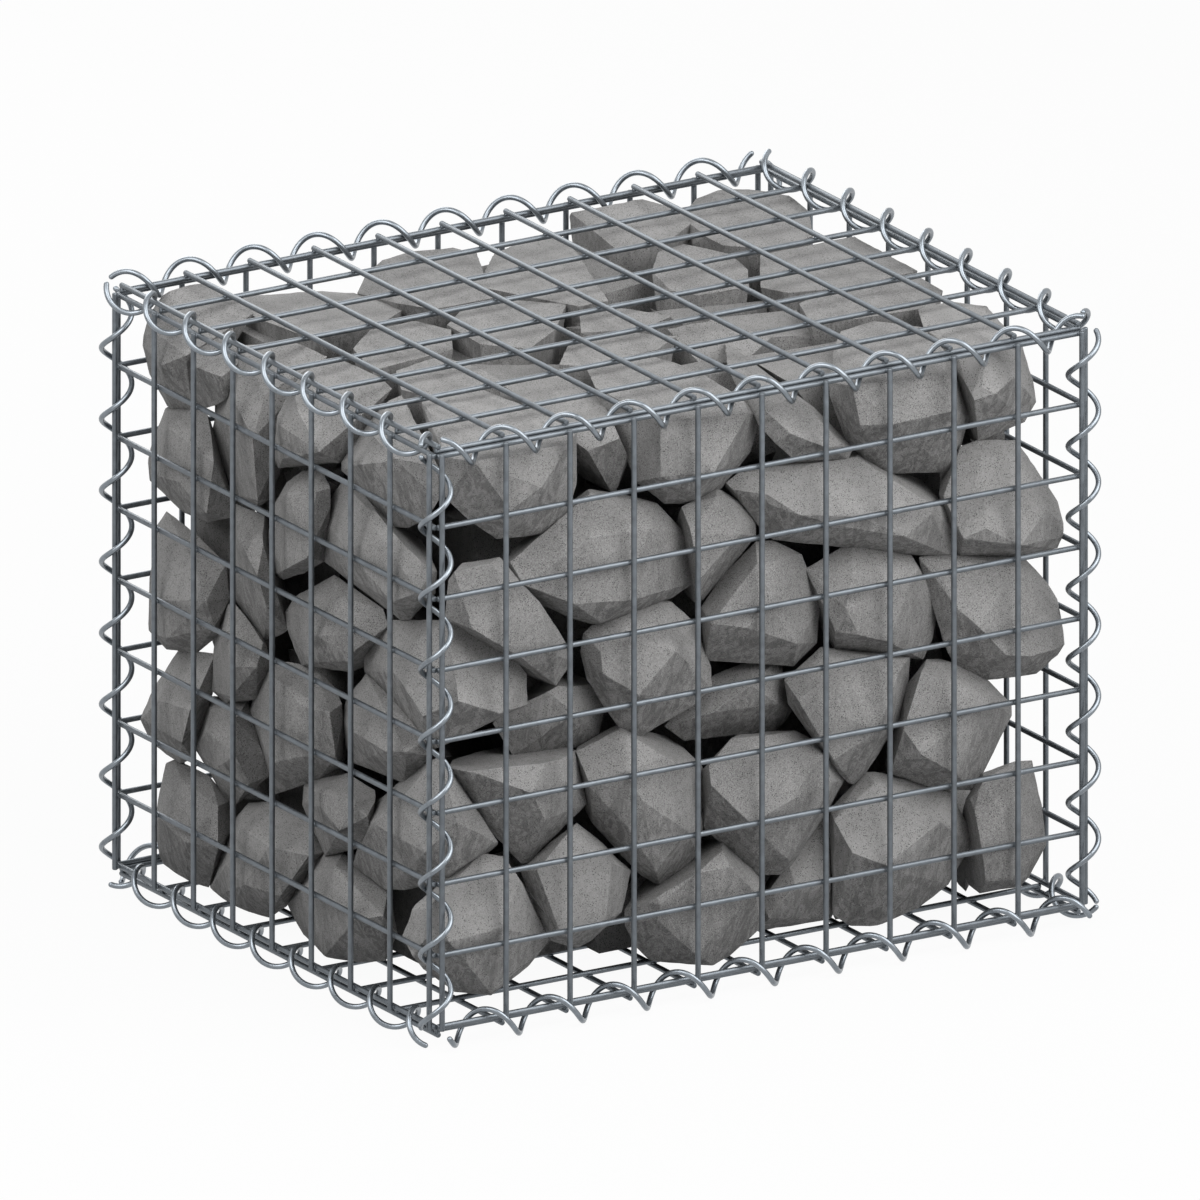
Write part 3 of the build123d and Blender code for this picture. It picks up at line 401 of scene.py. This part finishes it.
class GeometryTree(Tree):
    """A Geometry Nodes tree with named inputs, which is applied to a mesh once."""

    def __init__(self, name: str, inputs: dict[str, tuple[str, Any]]) -> None:
        """Make the tree with its inputs.

        Args:
            name: The tree's name.
            inputs: For each named input, its socket type and its value.
        """
        super().__init__(bpy.data.node_groups.new(name, "GeometryNodeTree"))
        self.tree.interface.new_socket("Geometry", in_out="INPUT", socket_type="NodeSocketGeometry")
        self.tree.interface.new_socket("Geometry", in_out="OUTPUT", socket_type="NodeSocketGeometry")
        self.values = {}
        for label, (kind, value) in inputs.items():
            socket = self.tree.interface.new_socket(label, in_out="INPUT", socket_type=kind)
            self.values[socket.identifier] = value
        self.given = self.node("NodeGroupInput").outputs

    def gathered(self, *parts: bpy.types.NodeSocket) -> bpy.types.NodeSocket:
        """Gather several geometries into one.

        Args:
            parts: The sockets that carry them.

        Returns:
            The socket that carries the whole.
        """
        whole = self.node("GeometryNodeJoinGeometry")
        for part in parts:
            self.tree.links.new(part, whole.inputs[0])
        return whole.outputs[0]

    def finish(self, geometry: Any, material: bpy.types.Material) -> None:
        """Close the tree: make instances real and give them their material.

        Args:
            geometry: The geometry to close on.
            material: The material that it gets.
        """
        real = self.node("GeometryNodeRealizeInstances", None, {"Geometry": geometry})
        dressed = self.node(
            "GeometryNodeSetMaterial", None, {"Geometry": real.outputs[0], "Material": material}
        )
        self.node("NodeGroupOutput", None, {"Geometry": dressed.outputs[0]})

    def applied_to(self, mesh: bpy.types.Mesh) -> bpy.types.Mesh:
        """Run the tree on a mesh.

        Args:
            mesh: The mesh that goes in.

        Returns:
            The plain mesh that comes out.
        """
        def set_inputs(modifier: bpy.types.Modifier) -> None:
            """Hand the modifier this tree and its values."""
            modifier.node_group = self.tree
            for identifier, value in self.values.items():
                modifier[identifier] = value

        return modified(mesh, "NODES", set_inputs)


def joined(parts: Iterable[tuple[bpy.types.Mesh, Matrix]], name: str) -> bpy.types.Mesh:
    """Join meshes into one with smooth shading.

    Args:
        parts: Each mesh with the matrix that moves it into place.
        name: The name of the joined mesh.

    Returns:
        One mesh with the first mesh's materials.
    """
    whole = bmesh.new()
    materials = []
    for mesh, matrix in parts:
        mesh.transform(matrix)
        whole.from_mesh(mesh)
        materials = materials or list(mesh.materials)
    made = bpy.data.meshes.new(name)
    whole.to_mesh(made)
    whole.free()
    for material in materials:
        made.materials.append(material)
    made.shade_smooth()
    return made


def piece(name: str, mesh: bpy.types.Mesh, node: str) -> bpy.types.Object:
    """Put a finished mesh in the scene in place of a node of the model.

    Args:
        name: The piece's name.
        mesh: Its mesh, in place.
        node: The node that it stands for.

    Returns:
        The new object.
    """
    made = bpy.data.objects.new(name, mesh)
    bpy.context.scene.collection.objects.link(made)
    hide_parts(node)
    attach(made, "root")
    log.info("%s: %d faces", name, len(mesh.polygons))
    return made


class Side(Enum):
    """The six faces of the basket: the panel's node, the way out and that of the cross wires."""

    FRONT = ("front_panel", (0, -1, 0), (1, 0, 0))
    BACK = ("back_panel", (0, 1, 0), (-1, 0, 0))
    LEFT = ("left_panel", (-1, 0, 0), (0, -1, 0))
    RIGHT = ("right_panel", (1, 0, 0), (0, 1, 0))
    LID = ("lid_panel", (0, 0, 1), (1, 0, 0))
    BASE = ("base_panel", (0, 0, -1), (1, 0, 0))

    @property
    def node(self) -> str:
        """The node that holds this panel."""
        return self.value[0]

    @property
    def outwards(self) -> Vector:
        """The direction out of the basket."""
        return Vector(self.value[1])

    @property
    def across(self) -> Vector:
        """The direction of the cross wires."""
        return Vector(self.value[2])


@dataclass
class MeshPanel:
    """One welded panel: upright wires outside, cross wires inside, fused where they cross.

    The ends of the wires are domed and keep a small round flat. A nugget is the bead of one
    weld: it reaches out past the radius of the wires, and its height is counted from its middle.
    """

    side: Side
    zinc: bpy.types.Material
    wire: float = 3.8 * MILLIMETRE
    cell: float = 50.0 * MILLIMETRE
    round_steps: int = 14
    dome_steps: int = 3
    dome_depth: float = 0.855 * MILLIMETRE
    end_flat: float = 2.28 * MILLIMETRE
    nugget_reach: float = 0.5075 * MILLIMETRE
    nugget_height: float = 0.8 * MILLIMETRE

    def wire_mesh(self, length: float) -> bpy.types.Mesh:
        """Make one wire along Y with slightly domed ends.

        Args:
            length: Its whole length.

        Returns:
            The wire, centred on the origin.
        """
        flat = self.end_flat / 2
        rounding = self.wire / 2 - flat
        stations = []
        for step in range(self.dome_steps + 1):
            turn = pi / 2 * step / self.dome_steps
            along = length / 2 - self.dome_depth * (1 - cos(turn))
            stations.append((along, flat + rounding * sin(turn)))
        rings = [(-along, reach) for along, reach in stations]
        rings += [(along, reach) for along, reach in reversed(stations)]
        bar = bmesh.new()
        loops = []
        for along, reach in rings:
            loops.append([
                bar.verts.new((
                    reach * cos(2 * pi * step / self.round_steps),
                    along,
                    reach * sin(2 * pi * step / self.round_steps),
                ))
                for step in range(self.round_steps)
            ])
        for first, second in zip(loops, loops[1:]):
            for step in range(self.round_steps):
                after = (step + 1) % self.round_steps
                bar.faces.new((first[step], first[after], second[after], second[step]))
        bar.faces.new(loops[0])
        bar.faces.new(loops[-1])
        bmesh.ops.recalc_face_normals(bar, faces=bar.faces[:])
        made = bpy.data.meshes.new("wire")
        bar.to_mesh(made)
        bar.free()
        return made

    def nugget_mesh(self) -> bpy.types.Mesh:
        """Make the small bead of upset metal at one weld.

        Returns:
            The bead, centred on the origin and flattened along Z.
        """
        bead = bmesh.new()
        bmesh.ops.create_icosphere(bead, subdivisions=1, radius=1.0)
        reach = self.wire / 2 + self.nugget_reach
        bmesh.ops.scale(bead, vec=(reach, reach, self.nugget_height), verts=bead.verts[:])
        made = bpy.data.meshes.new("nugget")
        bead.to_mesh(made)
        bead.free()
        return made

    def repeated(self, item: bpy.types.Mesh, columns: int, rows: int) -> bpy.types.Mesh:
        """Repeat a mesh over the panel's grid of cells.

        Args:
            item: What is repeated.
            columns: How many across.
            rows: How many up.

        Returns:
            One plain mesh, centred on the origin.
        """
        tree = GeometryTree("wire_grid", {
            "Columns": ("NodeSocketInt", columns),
            "Rows": ("NodeSocketInt", rows),
            "Cell": ("NodeSocketFloat", self.cell),
        })
        given = tree.given
        placed = given["Geometry"]
        for count, axis in (("Columns", "X"), ("Rows", "Y")):
            span = (Term(tree, given[count]) - 1) * Term(tree, given["Cell"])
            start = tree.node("ShaderNodeCombineXYZ", None, {axis: span * -0.5})
            step = tree.node("ShaderNodeCombineXYZ", None, {axis: given["Cell"]})
            line = tree.node("GeometryNodeMeshLine", {"mode": "OFFSET"}, {
                "Count": given[count],
                "Start Location": start.outputs[0],
                "Offset": step.outputs[0],
            })
            spots = tree.node("GeometryNodeInstanceOnPoints", None, {
                "Points": line.outputs["Mesh"], "Instance": placed,
            })
            placed = spots.outputs["Instances"]
        tree.finish(placed, self.zinc)
        return tree.applied_to(item)

    def build(self) -> bpy.types.Object:
        """Make the panel and put it in place of its node.

        Returns:
            The panel.
        """
        low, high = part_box(self.side.node)
        outwards, across = self.side.outwards, self.side.across
        up = outwards.cross(across)
        middle = (low + high) / 2
        size = high - low
        width = abs(size.dot(across))
        tall = abs(size.dot(up))
        columns = round(width / self.cell)
        rows = round(tall / self.cell)
        outer = abs(size.dot(outwards)) / 2 - self.wire / 2
        axes = Matrix((across, up, outwards)).transposed().to_4x4()
        to_panel = Matrix.Translation(middle) @ axes
        lay_across = Matrix.Rotation(-pi / 2, 4, "Z")
        uprights = self.repeated(self.wire_mesh(tall), columns + 1, 1)
        crosses = self.repeated(self.wire_mesh(width), rows + 1, 1)
        nuggets = self.repeated(self.nugget_mesh(), columns + 1, rows + 1)
        mesh = joined([
            (uprights, to_panel @ Matrix.Translation((0, 0, outer))),
            (crosses, to_panel @ Matrix.Translation((0, 0, -outer)) @ lay_across),
            (nuggets, to_panel),
        ], f"{self.side.node}_wires")
        return piece(f"{self.side.node}_wires", mesh, self.side.node)


class Run(Enum):
    """The directions that binders run in: the axis, then the sides of phase 0 and phase 90."""

    ALONG = ((1, 0, 0), (0, 1, 0), (0, 0, 1))
    DEEP = ((0, -1, 0), (1, 0, 0), (0, 0, 1))
    UPRIGHT = ((0, 0, 1), (1, 0, 0), (0, 1, 0))


@dataclass
class SpiralBinder:
    """One spiral that laces two panels together along an edge.

    A ball closes each end. It is a little thinner than the wire, so that only its dome shows.
    """

    node: str
    run: Run
    phase: float
    zinc: bpy.types.Material
    wire: float = 3.8 * MILLIMETRE
    pitch: float = 50.0 * MILLIMETRE
    steps_per_turn: int = 40
    round_steps: int = 14
    ball_rings: int = 8
    ball_share: float = 0.985

    def build(self) -> bpy.types.Object:
        """Make the spiral and put it in place of its node.

        Returns:
            The spiral.
        """
        low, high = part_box(self.node)
        axis, zero, quarter = (Vector(way) for way in self.run.value)
        size = high - low
        turns = round(abs(size.dot(axis)) / self.pitch)
        radius = abs(size.dot(zero)) / 2 - self.wire / 2
        start = (low + high) / 2 - axis * turns * self.pitch / 2
        phase = radians(self.phase)
        towards = zero * cos(phase) + quarter * sin(phase)
        sideways = axis.cross(towards)
        placed = Matrix((towards, sideways, axis)).transposed().to_4x4()
        placed.translation = start
        tree = GeometryTree("spiral_binder", {
            "Turns": ("NodeSocketFloat", float(turns)),
            "Radius": ("NodeSocketFloat", radius),
            "Pitch": ("NodeSocketFloat", self.pitch),
            "Wire Radius": ("NodeSocketFloat", self.wire / 2),
        })
        given = tree.given
        path = tree.node("GeometryNodeCurveSpiral", None, {
            "Resolution": self.steps_per_turn,
            "Rotations": given["Turns"],
            "Start Radius": given["Radius"],
            "End Radius": given["Radius"],
            "Height": Term(tree, given["Turns"]) * Term(tree, given["Pitch"]),
            "Reverse": True,
        })
        section = tree.node("GeometryNodeCurvePrimitiveCircle", None, {
            "Resolution": self.round_steps, "Radius": given["Wire Radius"],
        })
        tube = tree.node("GeometryNodeCurveToMesh", None, {
            "Curve": path.outputs[0],
            "Profile Curve": section.outputs["Curve"],
            "Fill Caps": True,
        })
        ball = tree.node("GeometryNodeMeshUVSphere", None, {
            "Segments": self.round_steps,
            "Rings": self.ball_rings,
            "Radius": Term(tree, given["Wire Radius"]) * self.ball_share,
        })
        ends = tree.node("GeometryNodeCurveEndpointSelection")
        tips = tree.node("GeometryNodeInstanceOnPoints", None, {
            "Points": path.outputs[0],
            "Selection": ends.outputs[0],
            "Instance": ball.outputs["Mesh"],
        })
        tree.finish(tree.gathered(tips.outputs[0], tube.outputs[0]), self.zinc)
        coil = tree.applied_to(bpy.data.meshes.new("empty"))
        mesh = joined([(coil, placed)], f"{self.node}_coil")
        return piece(f"{self.node}_coil", mesh, self.node)


class Detail(Enum):
    """How finely stones are divided: the longest edge that their faces keep."""

    SHOWN = 8.4 * MILLIMETRE
    HIDDEN = 18.0 * MILLIMETRE


@dataclass
class StoneHeap:
    """The stones of one node, with chipped edges and an uneven split surface.

    Corners closer than the weld distance are merged, and so are faces that turn by less than the
    flat angle. Then the short edges go, and the faces that turn by less than the blunt angle.
    The fullness is how far a stone's corners are moved out from its middle on average. The chip
    is how far a broken edge reaches into each of its faces.
    """

    node: str
    stone: bpy.types.Material
    detail: Detail = Detail.SHOWN
    weld: float = 0.02 * MILLIMETRE
    flat_angle: float = 0.5
    blunt_angle: float = 4.0
    shortest_edge: float = 2.2 * MILLIMETRE
    fullness: float = 1.3 * MILLIMETRE
    chip: float = 0.45 * MILLIMETRE
    chip_steps: int = 2
    chip_profile: float = 0.6
    most_halvings: int = 5
    unevenness: float = 1.7 * MILLIMETRE
    waves_per_metre: float = 34.0
    ledges_per_metre: float = 95.0
    ledge_share: float = 0.9
    tone_spread: float = 0.9
    tones_per_metre: float = 37.0
    facet_weight: int = 60

    @staticmethod
    def each_stone(work: bmesh.types.BMesh) -> Iterator[list[bmesh.types.BMVert]]:
        """Go through the stones of a mesh.

        Args:
            work: The mesh.

        Yields:
            The vertices of one stone, which hang together by edges.
        """
        seen = set()
        for first in work.verts:
            if first in seen:
                continue
            stone = [first]
            seen.add(first)
            for vertex in stone:
                for edge in vertex.link_edges:
                    other = edge.other_vert(vertex)
                    if other not in seen:
                        seen.add(other)
                        stone.append(other)
            yield stone

    @staticmethod
    def middle_of(stone: list[bmesh.types.BMVert]) -> Vector:
        """Return the mean place of a stone's vertices."""
        return sum((vertex.co for vertex in stone), Vector()) / len(stone)

    def rough_stones(self) -> bpy.types.Mesh:
        """Copy the node's flat-faced stones, make them fuller and chip their edges.

        Returns:
            The chipped stones with small enough faces to be made uneven.
        """
        work = bmesh.new()
        work.from_mesh(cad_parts[self.node].data)
        bmesh.ops.remove_doubles(work, verts=work.verts[:], dist=self.weld)
        bmesh.ops.dissolve_limit(
            work, angle_limit=radians(self.flat_angle), verts=work.verts[:], edges=work.edges[:])
        bmesh.ops.remove_doubles(work, verts=work.verts[:], dist=self.shortest_edge)
        bmesh.ops.triangulate(work, faces=[face for face in work.faces if len(face.verts) > 4])
        bmesh.ops.dissolve_limit(
            work, angle_limit=radians(self.blunt_angle), verts=work.verts[:], edges=work.edges[:])
        for stone in self.each_stone(work):
            middle = self.middle_of(stone)
            reach = sum((vertex.co - middle).length for vertex in stone) / len(stone)
            for vertex in stone:
                vertex.co += (vertex.co - middle) * self.fullness / reach
        bmesh.ops.bevel(
            work, geom=work.edges[:], offset=self.chip, segments=self.chip_steps,
            profile=self.chip_profile, affect="EDGES", clamp_overlap=True)
        bmesh.ops.triangulate(work, faces=work.faces[:])
        for _ in range(self.most_halvings):
            long_edges = [edge for edge in work.edges if edge.calc_length() > self.detail.value]
            if not long_edges:
                break
            bmesh.ops.subdivide_edges(work, edges=long_edges, cuts=1, use_grid_fill=False)
            bmesh.ops.triangulate(work, faces=[face for face in work.faces if len(face.verts) > 3])
        bmesh.ops.recalc_face_normals(work, faces=work.faces[:])
        made = bpy.data.meshes.new(f"{self.node}_rough")
        work.to_mesh(made)
        work.free()
        return made

    def split_surface(self, mesh: bpy.types.Mesh) -> bpy.types.Mesh:
        """Make the faces uneven, as split stone is.

        Args:
            mesh: The chipped stones.

        Returns:
            The finished stones.
        """
        tree = GeometryTree("split_surface", {
            "Unevenness": ("NodeSocketFloat", self.unevenness),
            "Waves": ("NodeSocketFloat", self.waves_per_metre),
            "Ledges": ("NodeSocketFloat", self.ledges_per_metre),
        })
        given = tree.given
        place = tree.node("GeometryNodeInputPosition").outputs[0]
        waves = tree.noise(place, given["Waves"], detail=4.0, roughness=0.55, warp=0.5)
        ledges = tree.noise(place, given["Ledges"], detail=3.0, roughness=0.6, warp=1.2)
        rise = (waves - 0.5) + (ledges - 0.5) * self.ledge_share
        outwards = tree.node("ShaderNodeVectorMath", {"operation": "SCALE"}, {
            0: tree.node("GeometryNodeInputNormal").outputs[0],
            "Scale": rise * Term(tree, given["Unevenness"]),
        })
        moved = tree.node("GeometryNodeSetPosition", None, {
            "Geometry": given["Geometry"], "Offset": outwards.outputs[0],
        })
        tree.finish(moved.outputs[0], self.stone)
        return tree.applied_to(mesh)

    def tone_stones(self, mesh: bpy.types.Mesh) -> None:
        """Give each stone of a mesh its own tone.

        Args:
            mesh: The mesh, which gets a point attribute.
        """
        work = bmesh.new()
        work.from_mesh(mesh)
        layer = work.verts.layers.float.new(TONE)
        for stone in self.each_stone(work):
            place = self.middle_of(stone) * self.tones_per_metre
            tone = 0.5 + self.tone_spread * noise.noise(place)
            for vertex in stone:
                vertex[layer] = min(1.0, max(0.0, tone))
        work.to_mesh(mesh)
        work.free()

    def build(self) -> bpy.types.Object:
        """Make the stones and put them in place of their node.

        Returns:
            The stones.
        """
        mesh = self.split_surface(self.rough_stones())
        self.tone_stones(mesh)
        mesh.shade_smooth()
        mesh = modified(mesh, "WEIGHTED_NORMAL", self.favour_facets)
        return piece(f"{self.node}_split", mesh, self.node)

    def favour_facets(self, modifier: bpy.types.Modifier) -> None:
        """Let the large faces set the shading, so that the facets look flat."""
        modifier.weight = self.facet_weight


@dataclass(frozen=True)
class Lamp:
    """One soft square lamp: its place as the studio counts it, its power in watts and its side."""

    name: str
    turn: float
    rise: float
    power: float
    side: float


@dataclass
class Studio:
    """A white studio: floor, world, soft lamps and a distant camera.

    A place is counted in degrees: the turn from straight in front, to the left, and the rise
    above the floor. The floor and the background look white, and only a small share of the
    floor's own shading is left, which keeps the shadow.
    """

    turn: float = 31.55
    rise: float = 18.3
    picture_width: float = 0.799
    distance: float = 3.0
    aim_height: float = 0.2139
    lamp_distance: float = 2.2
    even_light: float = 0.29
    sky_level: float = 0.96
    sky_warmth: float = -0.01
    paper_level: float = 0.5
    paper_hidden: float = 0.95
    floor_reach: float = 6.0
    lamps: tuple[Lamp, ...] = (
        Lamp("key", -24.0, 43.0, 60.0, 2.1),
        Lamp("fill", 74.0, 45.0, 36.0, 1.6),
        Lamp("rim", 190.0, 28.0, 21.0, 1.4),
    )

    def towards(self, turn: float, rise: float) -> Vector:
        """Return the direction of a point seen from the basket.

        Args:
            turn: Degrees from straight in front, to the left.
            rise: Degrees above the floor.

        Returns:
            A unit vector.
        """
        flat = cos(radians(rise))
        return Vector((-sin(radians(turn)) * flat, -cos(radians(turn)) * flat, sin(radians(rise))))

    def aimed(self, name: str, data: bpy.types.ID, place: Vector) -> bpy.types.Object:
        """Put a camera or a lamp in the scene and point it at the basket.

        Args:
            name: Its name.
            data: The camera's or the lamp's own settings.
            place: Its place, counted from the point that it looks at.

        Returns:
            The new object.
        """
        made = bpy.data.objects.new(name, data)
        bpy.context.scene.collection.objects.link(made)
        made.location = Vector((0, 0, self.aim_height)) + place
        made.rotation_euler = place.to_track_quat("Z", "Y").to_euler()
        return made

    def camera(self) -> None:
        """Set up the camera, which looks at the middle of the basket without perspective."""
        data = bpy.data.cameras.new("camera")
        data.type = "ORTHO"
        data.ortho_scale = self.picture_width
        place = self.towards(self.turn, self.rise) * self.distance
        bpy.context.scene.camera = self.aimed("camera", data, place)

    def lamp(self, lamp: Lamp) -> None:
        """Add one soft lamp that points at the basket.

        Args:
            lamp: The lamp's values.
        """
        data = bpy.data.lights.new(lamp.name, "AREA")
        data.energy = lamp.power
        data.size = lamp.side
        self.aimed(lamp.name, data, self.towards(lamp.turn, lamp.rise) * self.lamp_distance)

    def seen_directly(self, tree: Tree) -> Term:
        """Tell what is seen from what only casts light.

        Args:
            tree: The tree that asks.

        Returns:
            1 for what the camera sees itself, in a mirror or through glass.
        """
        path = tree.node("ShaderNodeLightPath").outputs
        seen = [Term(tree, path[name]) for name in (
            "Is Camera Ray", "Is Glossy Ray", "Is Transmission Ray")]
        return (seen[0] + seen[1] + seen[2]).clamped()

    def world(self) -> None:
        """Light everything evenly, with white behind."""
        world = bpy.data.worlds.new("studio")
        world.use_nodes = True
        tree = Tree(world.node_tree)
        soft = tree.node("ShaderNodeBackground", None, {
            "Color": grey(self.sky_level, self.sky_warmth), "Strength": self.even_light,
        })
        white = tree.node("ShaderNodeBackground", None, {"Color": grey(1.0), "Strength": 1.0})
        mixed = tree.node("ShaderNodeMixShader", None, {
            "Fac": self.seen_directly(tree), 1: soft.outputs[0], 2: white.outputs[0],
        })
        tree.node("ShaderNodeOutputWorld", None, {"Surface": mixed.outputs[0]})
        bpy.context.scene.world = world

    def floor(self) -> None:
        """Lay a pale floor that stays white to the eye but keeps the basket's shadow."""
        made, tree = new_material("floor_white")
        paper = tree.node("ShaderNodeBsdfDiffuse", None, {"Color": grey(self.paper_level)})
        glow = tree.node("ShaderNodeEmission", None, {"Color": grey(1.0), "Strength": 1.0})
        lit = tree.node("ShaderNodeMixShader", None, {
            "Fac": self.seen_directly(tree) * self.paper_hidden,
            1: paper.outputs[0],
            2: glow.outputs[0],
        })
        tree.node("ShaderNodeOutputMaterial", None, {"Surface": lit.outputs[0]})
        sheet = bmesh.new()
        bmesh.ops.create_grid(sheet, x_segments=1, y_segments=1, size=self.floor_reach)
        mesh = bpy.data.meshes.new("floor")
        sheet.to_mesh(mesh)
        sheet.free()
        mesh.materials.append(made)
        floor = bpy.data.objects.new("floor", mesh)
        bpy.context.scene.collection.objects.link(floor)
        floor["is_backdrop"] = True

    def build(self) -> None:
        """Set up the whole studio."""
        self.camera()
        self.world()
        self.floor()
        for lamp in self.lamps:
            self.lamp(lamp)
        bpy.context.scene.view_settings.view_transform = "Standard"


# each binder's node, its direction and its phase in degrees
BINDERS = [
    ("spiral_front_top", Run.ALONG, 95.8),
    ("spiral_back_top", Run.ALONG, 31.8),
    ("spiral_front_bottom", Run.ALONG, 191.2),
    ("spiral_back_bottom", Run.ALONG, 246.8),
    ("spiral_left_top", Run.DEEP, 140.1),
    ("spiral_right_top", Run.DEEP, 92.3),
    ("spiral_left_bottom", Run.DEEP, 245.7),
    ("spiral_right_bottom", Run.DEEP, 343.3),
    ("spiral_front_left", Run.UPRIGHT, 131.9),
    ("spiral_front_right", Run.UPRIGHT, 359.8),
    ("spiral_back_left", Run.UPRIGHT, 62.4),
    ("spiral_back_right", Run.UPRIGHT, 45.0),
]


def main() -> None:
    """Dress the panels, the binders and the stones, and set up the studio."""
    logging.basicConfig(level=logging.INFO, format="%(message)s")
    Studio().build()
    mesh_zinc = ZincFinish("mesh_zinc", level=0.16, roughness=0.46).material()
    binder_zinc = ZincFinish("binder_zinc", level=0.23, roughness=0.31).material()
    for side in Side:
        MeshPanel(side, mesh_zinc).build()
    for node, run, phase in BINDERS:
        SpiralBinder(node, run, phase, binder_zinc).build()
    stone = SplitStoneFinish().material()
    for node in sorted(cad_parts):
        if "stones" in node:
            detail = Detail.HIDDEN if node.startswith("core") else Detail.SHOWN
            StoneHeap(node, stone, detail).build()
    boxes = [[list(corner) for corner in box] for box in (cad_box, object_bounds())]


if __name__ == "__main__":
    main()
